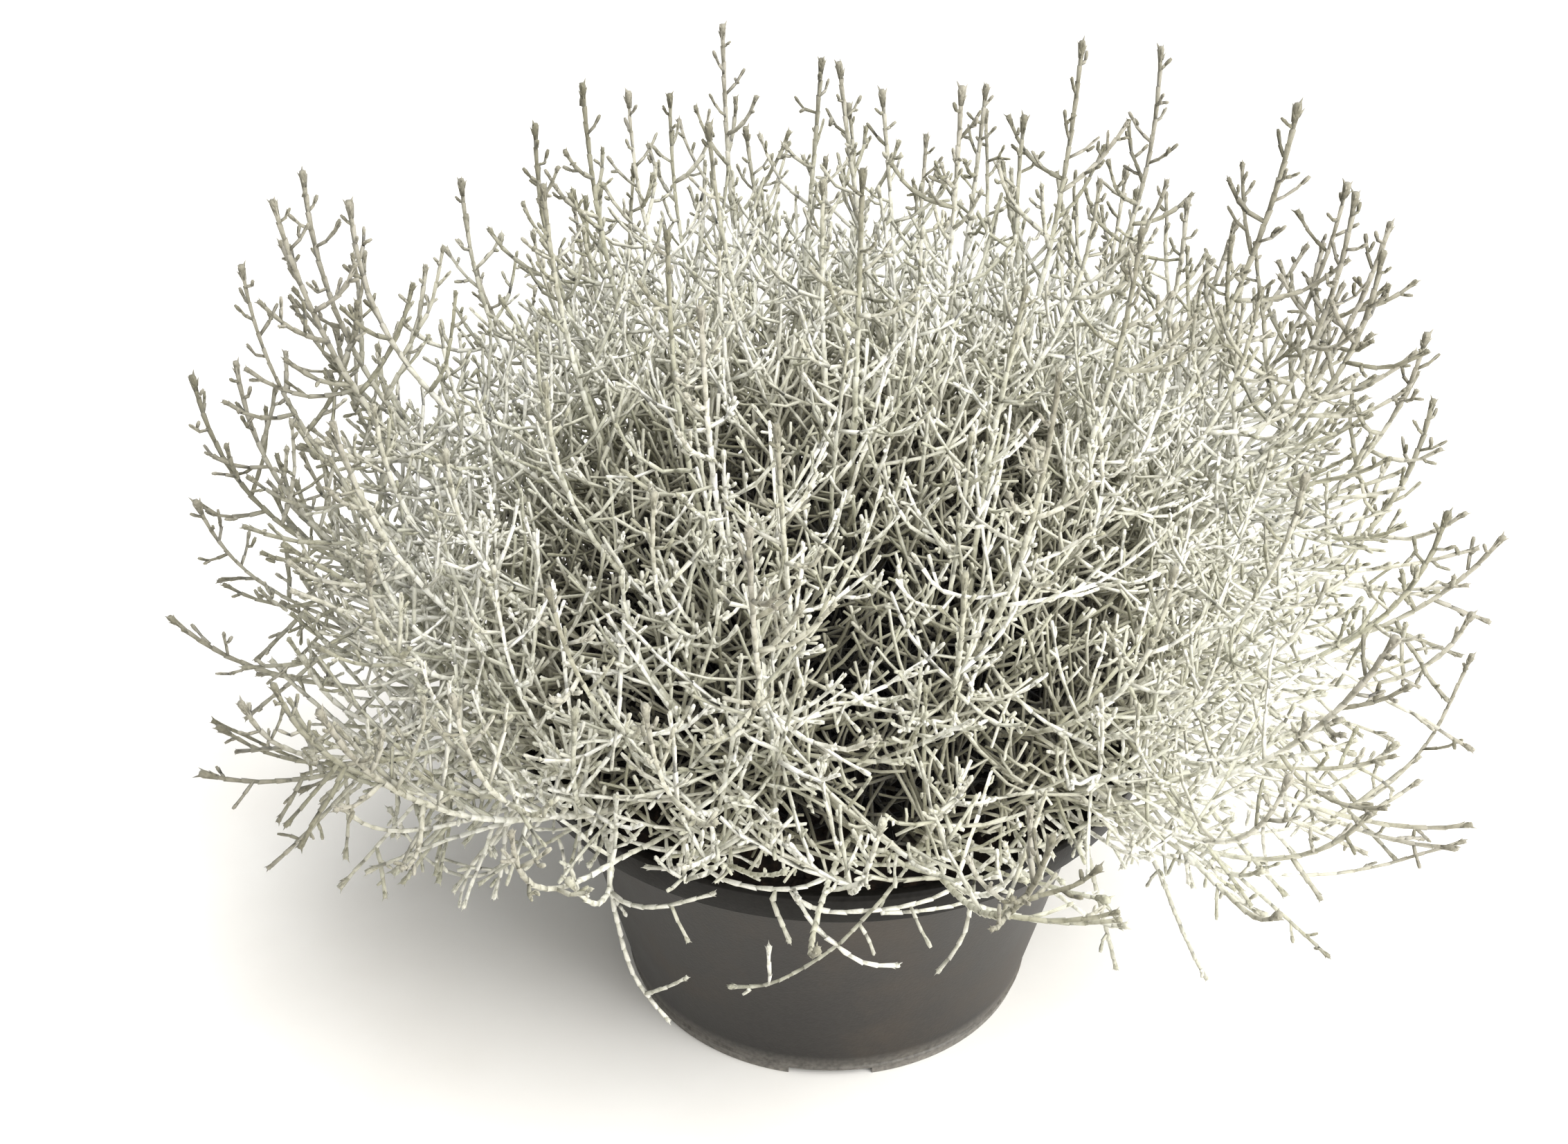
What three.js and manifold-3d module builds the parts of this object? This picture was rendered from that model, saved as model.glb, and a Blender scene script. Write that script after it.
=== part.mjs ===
// A silvery cushion bush in a plain round nursery pot.
// Millimetres, +Z up. The origin is on the floor, under the middle of the pot, and -Y is the front.

import * as THREE from 'three';
import { mergeVertices } from 'three/addons/utils/BufferGeometryUtils.js';
import Module from 'manifold-3d';

const wasm = await Module();
wasm.setup();

// Pot
const potHeight = 117;
const rimRadius = 115;
const collarHeight = 12.5;
const shoulderRadius = 100;
const footRadius = 76;
const footHeight = 4.4;
const wall = 1.8;
const lipWidth = 3.6;
const footBand = 3.2;
const potSides = 48;
const notchCount = 4;
const notchWidth = 30;
const notchHeight = 2.6;
const drainCount = 6;
const drainRadius = 4.5;
const drainCircle = 52;

// Growing mix
const soilDrop = 15;
const soilMound = 3;
const socketDepth = 16;
const gap = 0.35;

// Whole bush: how far it reaches from the middle of the pot, and its height above the floor
const reachX = 224;
const reachY = 219;
const bushHeight = 342;
const domeReach = 243;
const domeFall = 36;

// Main stems
const stemCount = 28;
const crownRadius = 44;
const steepest = THREE.MathUtils.degToRad(7);
const lowest = THREE.MathUtils.degToRad(91);
const topBias = 1.4;
const frontRise = 0.27;
const goldenAngle = Math.PI * (3 - Math.sqrt(5));
const stemRadius = 1.9;
const stemTipRadius = 1.3;
const stemSteps = 8;
const crownDrop = 6;
const widestLean = THREE.MathUtils.degToRad(74);
const leanGain = 1.2;
const leastLean = 0.14;
const tipLean = 0.3;
const firstHandle = 0.37;
const lastHandle = 0.42;

// A stem that would touch another tries these bows to the side and lifts, in turn.
const bows = [0, 10, -10, 20, -20, 32, -32];
const lifts = [0, 8, 16, 24, 32, 42, 54];

// Every stem and twig has three sides.
const sides = 3;

// Inner shoots: long twigs that leave a stem low down, rise beside it and fill the bush's middle
const shootCount = 3;
const firstShoot = 22;
const shootSpacing = 24;
const shootShare = 0.62;
const shootSpread = [22, 42];

// Side twigs and the twiglets on them
const firstNode = 14;
const nodeSpacing = 15;
const bareLength = 116;
const spacingGrowth = 2.4;
const lengthPerDistance = 0.55;
const longestTwig = 84;
const shortestTwig = 9;
const twigRadius = 1.1;
const rootRadius = 0.5;
const twigSpread = [46, 68];
const hangBelow = 170;
const attempts = 12;
const firstTwiglet = 9;
const twigletSpacing = 20;
const longestTwiglet = 22;
const shortestTwiglet = 6;
const clubRadius = 1.6;
const clubLength = 4;

// Room between the twigs, and to the pot, its lip, the growing mix and the floor
const clearance = 0.5;
const potRoom = 4;
const lipRoom = 4.5;
const soilRoom = 2;
const floorRoom = 12;

// The foliage's lower edge, outside the rim: its height over the middle, and its rise towards the front
const hemHeight = 10;
const hemSlope = 0.87;

// Seeds of the random draws
const tipSeed = 1000;
const shootSeed = 3100;
const twigSeed = 5000;
const twigletSeed = 9000;

// The tips that stand out of the bush's outline: across, back, and above the floor
const leaders = [
  [-40, 96, 325], [76, 34, 338], [138, 4, 328], [-84, 40, 322], [-172, -12, 302], [-216, -30, 164],
  [-204, -60, 122], [208, -20, 192], [196, -76, 116], [172, 20, 285],
];

const up = new THREE.Vector3(0, 0, 1);
const soilLevel = potHeight - soilDrop;
const crown = new THREE.Vector3(0, 0, soilLevel - crownDrop);

const { cos, sin, PI } = Math;
const { lerp, clamp } = THREE.MathUtils;

// A seeded stream of numbers from 0 to 1, so that the bush grows the same way each time.
function dice(seed) {
  let state = seed >>> 0;
  return () => {
    state = (state + 0x6d2b79f5) >>> 0;
    let mixed = Math.imul(state ^ (state >>> 15), state | 1);
    mixed ^= mixed + Math.imul(mixed ^ (mixed >>> 7), mixed | 61);
    return ((mixed ^ (mixed >>> 14)) >>> 0) / 4294967296;
  };
}

// Solids: three.js shapes become closed solids that can be joined and cut.

function merged(geometry) {
  const bare = geometry.clone();
  bare.deleteAttribute('normal');
  bare.deleteAttribute('uv');
  return mergeVertices(bare, 1e-4);
}

function solidFrom(shape) {
  const corners = [];
  for (let i = 0; i < shape.index.count; i += 3) {
    const [a, b, c] = [0, 1, 2].map((k) => shape.index.getX(i + k));
    if (a !== b && b !== c && c !== a) corners.push(a, b, c);
  }
  const mesh = new wasm.Mesh({
    numProp: 3,
    vertProperties: new Float32Array(shape.attributes.position.array),
    triVerts: new Uint32Array(corners),
  });
  return new wasm.Manifold(mesh);
}

function solidOf(geometry) {
  return solidFrom(merged(geometry));
}

function geometryOf(solid) {
  const { vertProperties, triVerts } = solid.getMesh();
  const geometry = new THREE.BufferGeometry();
  geometry.setAttribute('position', new THREE.BufferAttribute(new Float32Array(vertProperties), 3));
  geometry.setIndex(new THREE.BufferAttribute(new Uint32Array(triVerts), 1));
  return geometry;
}

// A turned shape about +Z, from its outline of [radius, height] pairs.
function turned(outline) {
  const points = outline.map(([radius, height]) => new THREE.Vector2(radius, height));
  return new THREE.LatheGeometry(points, potSides).rotateX(PI / 2);
}

function prism(radius, height, count, x, y, z) {
  const shape = new THREE.CylinderGeometry(radius, radius, height, count).rotateX(PI / 2);
  return solidOf(shape.rotateZ(-PI / 2).translate(x, y, z + height / 2));
}

// A slender turned shape, bent along a line of points. radii has one entry for each point but the last,
// where it ends in a point. Each ring of the straight shape stands at its own number's height.
function bentSpindle(points, radii) {
  const outline = [[0, 0], ...radii.map((radius, i) => [radius, i + 1]), [0, radii.length + 1]];
  const shape = merged(new THREE.LatheGeometry(outline.map(([r, s]) => new THREE.Vector2(r, s)), sides));
  const frames = framesAlong(points);
  const position = shape.attributes.position;
  for (let i = 0; i < position.count; i += 1) {
    const ring = Math.max(Math.round(position.getY(i)) - 1, 0);
    const { across, over } = frames[ring];
    const place = points[ring].clone();
    place.addScaledVector(across, position.getX(i));
    place.addScaledVector(over, position.getZ(i));
    position.setXYZ(i, place.x, place.y, place.z);
  }
  return solidFrom(shape);
}

// Two directions square to the line at each of its points, which don't twist along it.
function framesAlong(path) {
  const frames = [];
  let across = null;
  path.forEach((point, i) => {
    const before = path[Math.max(i - 1, 0)];
    const after = path[Math.min(i + 1, path.length - 1)];
    const tangent = after.clone().sub(before).normalize();
    across = across ?? squareTo(tangent);
    across = across.clone().addScaledVector(tangent, -across.dot(tangent)).normalize();
    frames.push({ across, over: across.clone().cross(tangent).normalize() });
  });
  return frames;
}

function squareTo(direction) {
  const helper = Math.abs(direction.z) > 0.9 ? new THREE.Vector3(1, 0, 0) : up;
  return helper.clone().cross(direction).normalize();
}

// Pot

function wallRadius(height) {
  return lerp(footRadius, shoulderRadius, (height - footHeight) / (potHeight - collarHeight - footHeight));
}

function innerRadius(height) {
  return wallRadius(height) - wall;
}

function potOutline() {
  const collarFoot = potHeight - collarHeight;
  const floor = footHeight + wall;
  return [
    [0, footHeight],
    [footRadius - footBand - 0.2, footHeight],
    [footRadius - footBand, 0],
    [footRadius - 0.4, 0],
    [footRadius - 0.2, footHeight - 0.3],
    [footRadius + 0.7, footHeight + 0.3],
    [shoulderRadius, collarFoot],
    [rimRadius - 2, collarFoot + 0.3],
    [rimRadius, potHeight - 1.4],
    [rimRadius - 0.8, potHeight],
    [rimRadius - lipWidth, potHeight],
    [rimRadius - lipWidth - 0.6, potHeight - 1.2],
    [rimRadius - lipWidth - 2.4, collarFoot + wall + 0.8],
    [innerRadius(collarFoot + wall), collarFoot + wall],
    [innerRadius(floor), floor],
    [0, floor],
  ];
}

function makePot() {
  let pot = solidOf(turned(potOutline()));
  for (let i = 0; i < notchCount; i += 1) {
    const block = new THREE.BoxGeometry(notchWidth, 12, 2 * notchHeight);
    block.translate(0, -footRadius, 0).rotateZ((i * 2 * PI) / notchCount);
    pot = pot.subtract(solidOf(block));
  }
  for (let i = 0; i < drainCount; i += 1) {
    const turn = ((i + 0.5) * 2 * PI) / drainCount;
    pot = pot.subtract(prism(drainRadius, 6, 8, drainCircle * cos(turn), drainCircle * sin(turn), 2.5));
  }
  return geometryOf(pot);
}

// Growing mix, with a socket for each stem

function soilTop(radius) {
  return soilLevel + soilMound * (0.5 - radius / shoulderRadius);
}

function makeSoil(stems) {
  const bottom = footHeight + wall + gap;
  const edge = soilTop(innerRadius(soilLevel));
  const outline = [
    [0, bottom],
    [innerRadius(bottom) - gap, bottom],
    [innerRadius(edge) - gap, edge],
    [0, soilTop(0)],
  ];
  let soil = solidOf(turned(outline));
  stems.forEach(({ points: [root] }) => {
    soil = soil.subtract(prism(stemRadius + 2 * gap, 2 * socketDepth, sides, root.x, root.y, root.z - gap));
  });
  return geometryOf(soil);
}

// The bush's skeleton: each twig is a line of points with the radius at its root and before its tip.

// How far the dome of tips lies from the crown, for a direction at an angle from straight up
function domeRadius(angle) {
  const fall = clamp((angle - 0.9) / 0.75, 0, 1);
  return domeReach - domeFall * fall * fall * (3 - 2 * fall);
}

// More tips stand on the top than lower down, and along the front they stay higher than the rim.
function stemTips() {
  const tips = [];
  for (let i = 0; i < stemCount; i += 1) {
    const draw = dice(tipSeed + i);
    const share = ((i + 0.5) / stemCount) ** topBias;
    const turn = i * goldenAngle + 0.16 * (draw() - 0.5);
    const front = Math.max(-sin(turn), 0);
    const angle = Math.acos(lerp(cos(steepest), cos(lowest), share)) * (1 - frontRise * front * front);
    const reach = domeRadius(angle) * (0.93 + 0.07 * draw());
    const flat = new THREE.Vector3(cos(turn), sin(turn), 0);
    const tip = crown.clone().addScaledVector(up, reach * cos(angle));
    tip.addScaledVector(flat, reach * sin(angle));
    tips.push({ tip, turn, led: false });
  }
  leaders.forEach(([x, y, z]) => {
    const place = new THREE.Vector3(x, y, z);
    const free = tips.filter((item) => !item.led);
    const nearest = free.reduce((a, b) => (place.distanceTo(a.tip) <= place.distanceTo(b.tip) ? a : b));
    nearest.tip = place;
    nearest.led = true;
  });
  return tips;
}

// A stem goes straight up out of its socket, leans out from the crown and turns up again at its tip.
function stemLine(i, tip, turn, bow, lift) {
  const spread = crownRadius * Math.sqrt((i + 0.5) / stemCount);
  const root = new THREE.Vector3(spread * cos(turn), spread * sin(turn), soilLevel - socketDepth);
  const collar = root.clone().setZ(soilLevel + 3);
  const chord = tip.clone().sub(collar);
  const heading = new THREE.Vector3(chord.x, chord.y, 0).normalize();
  const lean = Math.atan2(Math.hypot(chord.x, chord.y), chord.z);
  const side = heading.clone().cross(up);
  const start = Math.min(lean * leanGain + leastLean, widestLean);
  const end = lean * lean * tipLean;
  const length = chord.length();
  const first = collar.clone().addScaledVector(heading, firstHandle * length * sin(start));
  first.addScaledVector(up, firstHandle * length * cos(start) + lift).addScaledVector(side, bow);
  const second = tip.clone().addScaledVector(heading, -lastHandle * length * sin(end));
  second.addScaledVector(up, -lastHandle * length * cos(end) + lift).addScaledVector(side, bow);
  const curve = new THREE.CubicBezierCurve3(collar, first, second, tip);
  return [root, ...curve.getPoints(stemSteps)];
}

// A point on a line and the direction there, by the distance from its tip
function fromTip(points, distance) {
  let left = distance;
  for (let i = points.length - 1; i > 0; i -= 1) {
    const step = points[i].distanceTo(points[i - 1]);
    if (left <= step) {
      const place = points[i].clone().lerp(points[i - 1], left / step);
      const direction = points[i].clone().sub(points[i - 1]).normalize();
      return { place, direction, ...framesAlong(points)[i - 1] };
    }
    left -= step;
  }
  return null;
}

function lengthOf(points) {
  return points.reduce((sum, point, i) => (i ? sum + point.distanceTo(points[i - 1]) : 0), 0);
}

// A side twig leaves its parent at an angle and arches up. One low on the bush that starts downward hangs.
function twigLine({ place, direction, across, over }, length, spread, turn) {
  const out = across.clone().multiplyScalar(sin(turn)).addScaledVector(over, cos(turn));
  const start = direction.clone().multiplyScalar(cos(spread)).addScaledVector(out, sin(spread)).normalize();
  const hangs = start.z < -0.2 && place.z < hangBelow;
  const pull = hangs ? new THREE.Vector3(0, 0, -0.4) : new THREE.Vector3(0, 0, 0.8);
  const end = start.clone().addScaledVector(direction, 0.4).add(pull).normalize();
  const middle = place.clone().addScaledVector(start, length * 0.5);
  const tip = middle.clone().addScaledVector(end, length * 0.5);
  return new THREE.QuadraticBezierCurve3(place, middle, tip);
}

// The shortest distance between two straight pieces
function between(a, b, c, d) {
  const u = b.clone().sub(a);
  const v = d.clone().sub(c);
  const w = a.clone().sub(c);
  const uu = u.dot(u);
  const uv = u.dot(v);
  const vv = v.dot(v);
  const uw = u.dot(w);
  const vw = v.dot(w);
  const flat = uu * vv - uv * uv;
  let s = flat > 1e-9 ? clamp((uv * vw - vv * uw) / flat, 0, 1) : 0;
  const t = clamp((uv * s + vw) / vv, 0, 1);
  s = clamp((uv * t - uw) / uu, 0, 1);
  return a.clone().addScaledVector(u, s).distanceTo(c.clone().addScaledVector(v, t));
}

// True where a twig would touch the pot, the growing mix or the floor, or hang over the pot's front.
function meetsPot(points) {
  return points.some(({ x, y, z }) => {
    const radius = Math.hypot(x, y);
    if (z < floorRoom) return true;
    if (radius > rimRadius + potRoom && z < hemHeight - hemSlope * y) return true;
    if (z > potHeight + lipRoom || radius > rimRadius + potRoom) return false;
    if (z > soilTop(radius) + soilRoom && radius < innerRadius(z) - potRoom) return false;
    return !(z < potHeight - collarHeight - potRoom && radius > wallRadius(z) + potRoom);
  });
}

// The same line with a point at least every few millimetres
function finely(points) {
  return points.flatMap((point, i) => {
    if (!i) return [point];
    const count = Math.ceil(point.distanceTo(points[i - 1]) / 3);
    return Array.from({ length: count }, (_, k) => points[i - 1].clone().lerp(point, (k + 1) / count));
  });
}

// Pieces already grown, as straight pieces with a radius
const grown = [];

function isClear(points, radius, parent) {
  return grown.every((piece) => {
    if (piece.twig === parent) return true;
    return points.every((point, i) => {
      if (!i) return true;
      const room = radius + piece.radius + clearance;
      return between(points[i - 1], point, piece.from, piece.to) > room;
    });
  });
}

function keep(twig, radius) {
  twig.points.forEach((point, i) => {
    if (i) grown.push({ twig, from: twig.points[i - 1], to: point, radius });
  });
}

function growStems() {
  return stemTips().map(({ tip, turn }, i) => {
    const lines = lifts.flatMap((lift) => bows.map((bow) => stemLine(i, tip, turn, bow, lift)));
    const fits = (points) => !meetsPot(finely(points.slice(2))) && isClear(points, stemRadius + 1, null);
    const points = lines.find(fits) ?? lines[0];
    const stem = { points, name: `stem_${String(i + 1).padStart(2, '0')}`, twigs: [] };
    keep(stem, stemRadius);
    return stem;
  });
}

// Tries a twig at one node of its parent, on one of its faces, until one is clear.
function growTwig(parent, distance, length, [least, most], seed, steps) {
  const draw = dice(seed);
  const spread = THREE.MathUtils.degToRad(lerp(least, most, draw()));
  const firstFace = Math.floor(sides * draw());
  const size = length * (0.75 + 0.5 * draw());
  const node = fromTip(parent.points, distance);
  for (let attempt = 0; attempt < attempts; attempt += 1) {
    const face = firstFace + attempt;
    const aside = 0.16 * Math.floor(attempt / sides) * (attempt % 2 ? 1 : -1);
    const shorter = size * (1 - 0.05 * attempt);
    const points = twigLine(node, shorter, spread, ((face + 0.5) * 2 * PI) / sides + aside).getPoints(steps);
    const free = [node.place.clone().lerp(points[1], 0.25), ...points.slice(1)];
    if (!meetsPot(finely(points.slice(1))) && isClear(free, clubRadius, parent)) {
      const twig = { points, length: shorter, twigs: [] };
      keep(twig, twigRadius);
      parent.twigs.push(twig);
      return;
    }
  }
}

function growShoots(stems) {
  for (let level = 0; level < shootCount; level += 1) {
    stems.forEach((stem, i) => {
      const distance = lengthOf(stem.points) - socketDepth - firstShoot - shootSpacing * level;
      growTwig(stem, distance, shootShare * distance, shootSpread, shootSeed + 10 * i + level, 3);
    });
  }
}

// Nodes lie further apart down the stem, and the twigs there are longer.
function growSideTwigs(stems) {
  let distance = firstNode;
  for (let level = 0; distance < bushHeight; level += 1) {
    stems.forEach((stem, i) => {
      if (distance > lengthOf(stem.points) - socketDepth - bareLength) return;
      const length = clamp(lengthPerDistance * distance, shortestTwig, longestTwig);
      growTwig(stem, distance, length, twigSpread, twigSeed + 40 * i + level, distance > 70 ? 3 : 2);
    });
    distance += nodeSpacing + spacingGrowth * level;
  }
}

function growTwiglets(stems) {
  stems.forEach((stem, i) => {
    stem.twigs.forEach((twig, k) => {
      for (let level = 0; level < 2; level += 1) {
        const distance = firstTwiglet + twigletSpacing * level;
        if (distance > 0.6 * twig.length) return;
        const length = clamp(lengthPerDistance * distance, shortestTwiglet, longestTwiglet);
        growTwig(twig, distance, length, twigSpread, twigletSeed + 97 * i + 5 * k + level, 1);
      }
    });
  });
}

// Solid stems and twigs, each root sunk to its parent's axis and each tip clubbed

function withClub(points) {
  const last = points[points.length - 1];
  const before = points[points.length - 2];
  const length = last.distanceTo(before);
  const club = last.clone().lerp(before, Math.min(clubLength / length, 0.6));
  return [...points.slice(0, -1), club, last];
}

function stemSolid(stem) {
  const line = withClub(stem.points);
  const radii = line.slice(0, -1).map((_, i) => {
    if (i === line.length - 2) return clubRadius;
    return lerp(stemRadius, stemTipRadius, Math.max(i - 1, 0) / (line.length - 3));
  });
  return bentSpindle(line, radii);
}

function twigSolid(twig) {
  const line = withClub(twig.points);
  const radii = line.slice(0, -1).map((_, i) => {
    if (i === 0) return rootRadius;
    return i === line.length - 2 ? clubRadius : twigRadius;
  });
  return bentSpindle(line, radii);
}

function makeStem(stem) {
  const twigs = stem.twigs.flatMap((twig) => [twig, ...twig.twigs]);
  return twigs.reduce((body, twig) => body.add(twigSolid(twig)), stemSolid(stem));
}

// The outermost tips are drawn out or in a little, so that the bush is centred over its pot.
function centreOverPot(geometries) {
  const box = new THREE.Box3();
  geometries.forEach((geometry) => {
    geometry.computeBoundingBox();
    box.union(geometry.boundingBox);
  });
  const still = rimRadius + 15;
  const draw = (value, low, high, reach) => {
    const end = value < 0 ? -low : high;
    const excess = Math.abs(value) - still;
    return excess > 0 ? Math.sign(value) * (still + (excess * (reach - still)) / (end - still)) : value;
  };
  const lift = (z) => (z > 200 ? 200 + ((z - 200) * (bushHeight - 200)) / (box.max.z - 200) : z);
  geometries.forEach(({ attributes: { position } }) => {
    for (let i = 0; i < position.count; i += 1) {
      const x = draw(position.getX(i), box.min.x, box.max.x, reachX);
      const y = draw(position.getY(i), box.min.y, box.max.y, reachY);
      position.setXYZ(i, x, y, lift(position.getZ(i)));
    }
  });
}

// Scene graph

function addPart(group, name, geometry, color, roughness) {
  const material = new THREE.MeshStandardMaterial({ color, roughness, metalness: 0 });
  const mesh = new THREE.Mesh(geometry, material);
  mesh.name = name;
  group.add(mesh);
}

const stems = growStems();
growShoots(stems);
growSideTwigs(stems);
growTwiglets(stems);

const bush = stems.map((stem) => geometryOf(makeStem(stem)));
centreOverPot(bush);

const model = new THREE.Group();
addPart(model, 'pot', makePot(), 0x35322e, 0.5);
addPart(model, 'soil', makeSoil(stems), 0x2b211a, 0.95);
stems.forEach((stem, i) => addPart(model, stem.name, bush[i], 0xcdcec2, 0.9));

export default model;
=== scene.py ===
# %% [markdown]
# # A silvery cushion bush in its nursery pot
#
# This lesson dresses a small potted shrub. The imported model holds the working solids: a pot, the growing
# mix and 28 stems with a few plain twigs each. They are loaded first, as a fixed frame, and each one is
# then replaced by a finer piece of the same form.

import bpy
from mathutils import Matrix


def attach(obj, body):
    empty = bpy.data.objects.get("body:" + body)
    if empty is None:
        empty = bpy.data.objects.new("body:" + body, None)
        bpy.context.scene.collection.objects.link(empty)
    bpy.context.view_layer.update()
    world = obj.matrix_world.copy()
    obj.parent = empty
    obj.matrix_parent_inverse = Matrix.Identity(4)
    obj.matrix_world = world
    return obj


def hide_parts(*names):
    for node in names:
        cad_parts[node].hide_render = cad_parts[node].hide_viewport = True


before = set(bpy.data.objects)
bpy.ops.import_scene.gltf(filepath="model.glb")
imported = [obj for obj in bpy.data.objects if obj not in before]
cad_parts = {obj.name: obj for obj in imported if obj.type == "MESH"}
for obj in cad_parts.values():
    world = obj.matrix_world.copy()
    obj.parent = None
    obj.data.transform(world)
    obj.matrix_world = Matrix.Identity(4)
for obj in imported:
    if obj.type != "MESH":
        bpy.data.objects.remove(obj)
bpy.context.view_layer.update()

# %% [markdown]
# Blender works in metres. A plant is easier to think about in millimetres, so every size below is in
# millimetres, and one factor turns it to metres where a mesh is made.

# %% Tools used throughout
import math

import bpy
import numpy as np
from mathutils import Vector, noise

MM = 0.001


def new_start():
    """Leaves nothing selected, so that the next operator acts on its own piece only."""
    if bpy.context.object and bpy.context.object.mode != "OBJECT":
        bpy.ops.object.mode_set(mode="OBJECT")
    bpy.ops.object.select_all(action="DESELECT")


def pick(*pieces):
    """Selects only these pieces, and makes the first one active."""
    new_start()
    for piece in pieces:
        piece.select_set(True)
    bpy.context.view_layer.objects.active = pieces[0]


# %% [markdown]
# ## The camera
#
# The photograph looks down on the bush from a little above it, at about arm's length. The pot's foot and
# rim are circles of a known size, and the two ellipses that they make there give the lens, the tilt and
# the place.

# %% Camera
LENS_WIDTH = 36
LENS_LENGTH = 46.1
CAMERA_PLACE = (-19.9, -598, 532)
CAMERA_PITCH = math.radians(31.45)
CAMERA_ROLL = math.radians(-0.35)

new_start()
bpy.ops.object.camera_add(location=[value * MM for value in CAMERA_PLACE])
camera = bpy.context.object
camera.name = "photo_camera"
camera.data.sensor_width = LENS_WIDTH
camera.data.lens = LENS_LENGTH
camera.rotation_mode = "XYZ"
camera.rotation_euler = (math.pi / 2 - CAMERA_PITCH, CAMERA_ROLL, 0)
bpy.context.scene.camera = camera
print("camera", round(camera.data.lens, 1), "mm lens at", CAMERA_PLACE)

# %% [markdown]
# ## Materials
#
# A material starts from what the real thing is made of and how its surface came about. Colours are
# written as sRGB hex values, as a paint program shows them, and one function turns them to the linear
# values that Blender mixes light with. One more function adds a node with its settings and its links.

# %% Helpers for materials
def paint(code):
    """A colour from its sRGB hex value, in linear light."""
    channels = [int(code[i:i + 2], 16) / 255 for i in (1, 3, 5)]
    linear = [c / 12.92 if c <= 0.04045 else ((c + 0.055) / 1.055) ** 2.4 for c in channels]
    return (*linear, 1)


def add_node(material, kind, settings=None, **inputs):
    """A node of one kind. Settings are its own properties; inputs are values or other nodes' sockets."""
    node = material.node_tree.nodes.new(kind)
    for name, value in (settings or {}).items():
        setattr(node, name, value)
    for name, value in inputs.items():
        socket = node.inputs[int(name[1:])] if name[0] == "_" else node.inputs[name.replace("_", " ")]
        if isinstance(value, bpy.types.NodeSocket):
            material.node_tree.links.new(value, socket)
        else:
            socket.default_value = value
    return node


def add_ramp(material, factor, stops):
    """A colour ramp with (position, colour) stops."""
    node = add_node(material, "ShaderNodeValToRGB", Fac=factor)
    node.color_ramp.elements.remove(node.color_ramp.elements[0])
    for place, colour in stops[:-1]:
        node.color_ramp.elements.new(place).color = colour
    last = [e for e in node.color_ramp.elements if e.position == 1.0][-1]
    last.position, last.color = stops[-1]
    return node


def new_material(name):
    """An empty material with its surface shader, ready for a finish."""
    material = bpy.data.materials.new(name)
    material.use_nodes = True
    shader = material.node_tree.nodes["Principled BSDF"]
    return material, shader


# %% [markdown]
# The pot is injection moulded from recycled polypropylene. It isn't quite black: the pigment leaves a
# warm charcoal, the tool's fine grain breaks the sheen, and handling leaves pale dust at the foot. The
# collar carries painted shade, as if the foliage above shaded it: a darker colour and a weaker reflection.

# %% Moulded recycled polypropylene
POT_GRAIN = 0.9
DUST_HEIGHT = 11
COLLAR_SHADE_FROM = 101
COLLAR_SHADE_TO = 103


def moulded_polypropylene():
    """Charcoal plastic: fine mould grain, slow smears of dust, paler at the foot, painted shade on the
    collar.
    """
    material, shader = new_material("moulded_recycled_polypropylene")
    place = add_node(material, "ShaderNodeTexCoord").outputs["Object"]
    smears = add_node(material, "ShaderNodeTexNoise", Vector=place, Scale=18.0, Detail=5.0, Roughness=0.6)
    specks = add_node(material, "ShaderNodeTexNoise", Vector=place, Scale=520.0, Detail=3.0)
    grain = add_node(material, "ShaderNodeTexNoise", Vector=place, Scale=1 / (POT_GRAIN * MM), Detail=2.0)
    height = add_node(material, "ShaderNodeSeparateXYZ", Vector=place).outputs["Z"]
    foot = add_node(material, "ShaderNodeMapRange", _0=height, _1=0.0, _2=DUST_HEIGHT * MM, _3=1.0, _4=0.04)
    scuffed = add_node(material, "ShaderNodeMath", {"operation": "MULTIPLY"}, _0=foot.outputs[0],
                       _1=specks.outputs["Fac"])
    wall = add_ramp(material, smears.outputs["Fac"], [(0.3, paint("#191716")), (0.52, paint("#211e1b")),
                                                      (0.75, paint("#352d24"))])
    # Painted shade: the collar is painted nearly black, as if the foliage above shaded it.
    collar = add_node(material, "ShaderNodeMapRange", _0=height, _1=COLLAR_SHADE_FROM * MM,
                      _2=COLLAR_SHADE_TO * MM, _3=0.0, _4=0.9)
    body = add_node(material, "ShaderNodeMix", {"data_type": "RGBA"}, _0=collar.outputs[0],
                    _6=wall.outputs["Color"], _7=paint("#0c0b0a"))
    dusty = add_node(material, "ShaderNodeMix", {"data_type": "RGBA"}, _0=scuffed.outputs[0],
                     _6=body.outputs[2], _7=paint("#98938a"))
    shader_roughness = add_node(material, "ShaderNodeMapRange", _0=smears.outputs["Fac"], _1=0.3, _2=0.75,
                                _3=0.36, _4=0.5)
    bump = add_node(material, "ShaderNodeBump", Height=grain.outputs["Fac"], Strength=0.4,
                    Distance=0.15 * MM)
    links = material.node_tree.links
    links.new(dusty.outputs[2], shader.inputs["Base Color"])
    # Painted shade: the collar's reflection is weakened as well.
    gloss = add_node(material, "ShaderNodeMapRange", _0=collar.outputs[0], _1=0.0, _2=0.9, _3=0.3, _4=0.1)
    links.new(shader_roughness.outputs[0], shader.inputs["Roughness"])
    links.new(gloss.outputs[0], shader.inputs["Specular IOR Level"])
    links.new(bump.outputs["Normal"], shader.inputs["Normal"])
    shader.inputs["IOR"].default_value = 1.49
    return material


# %% [markdown]
# The growing mix is damp peat: nearly black, crumbly, with a few brown fibres.

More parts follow.
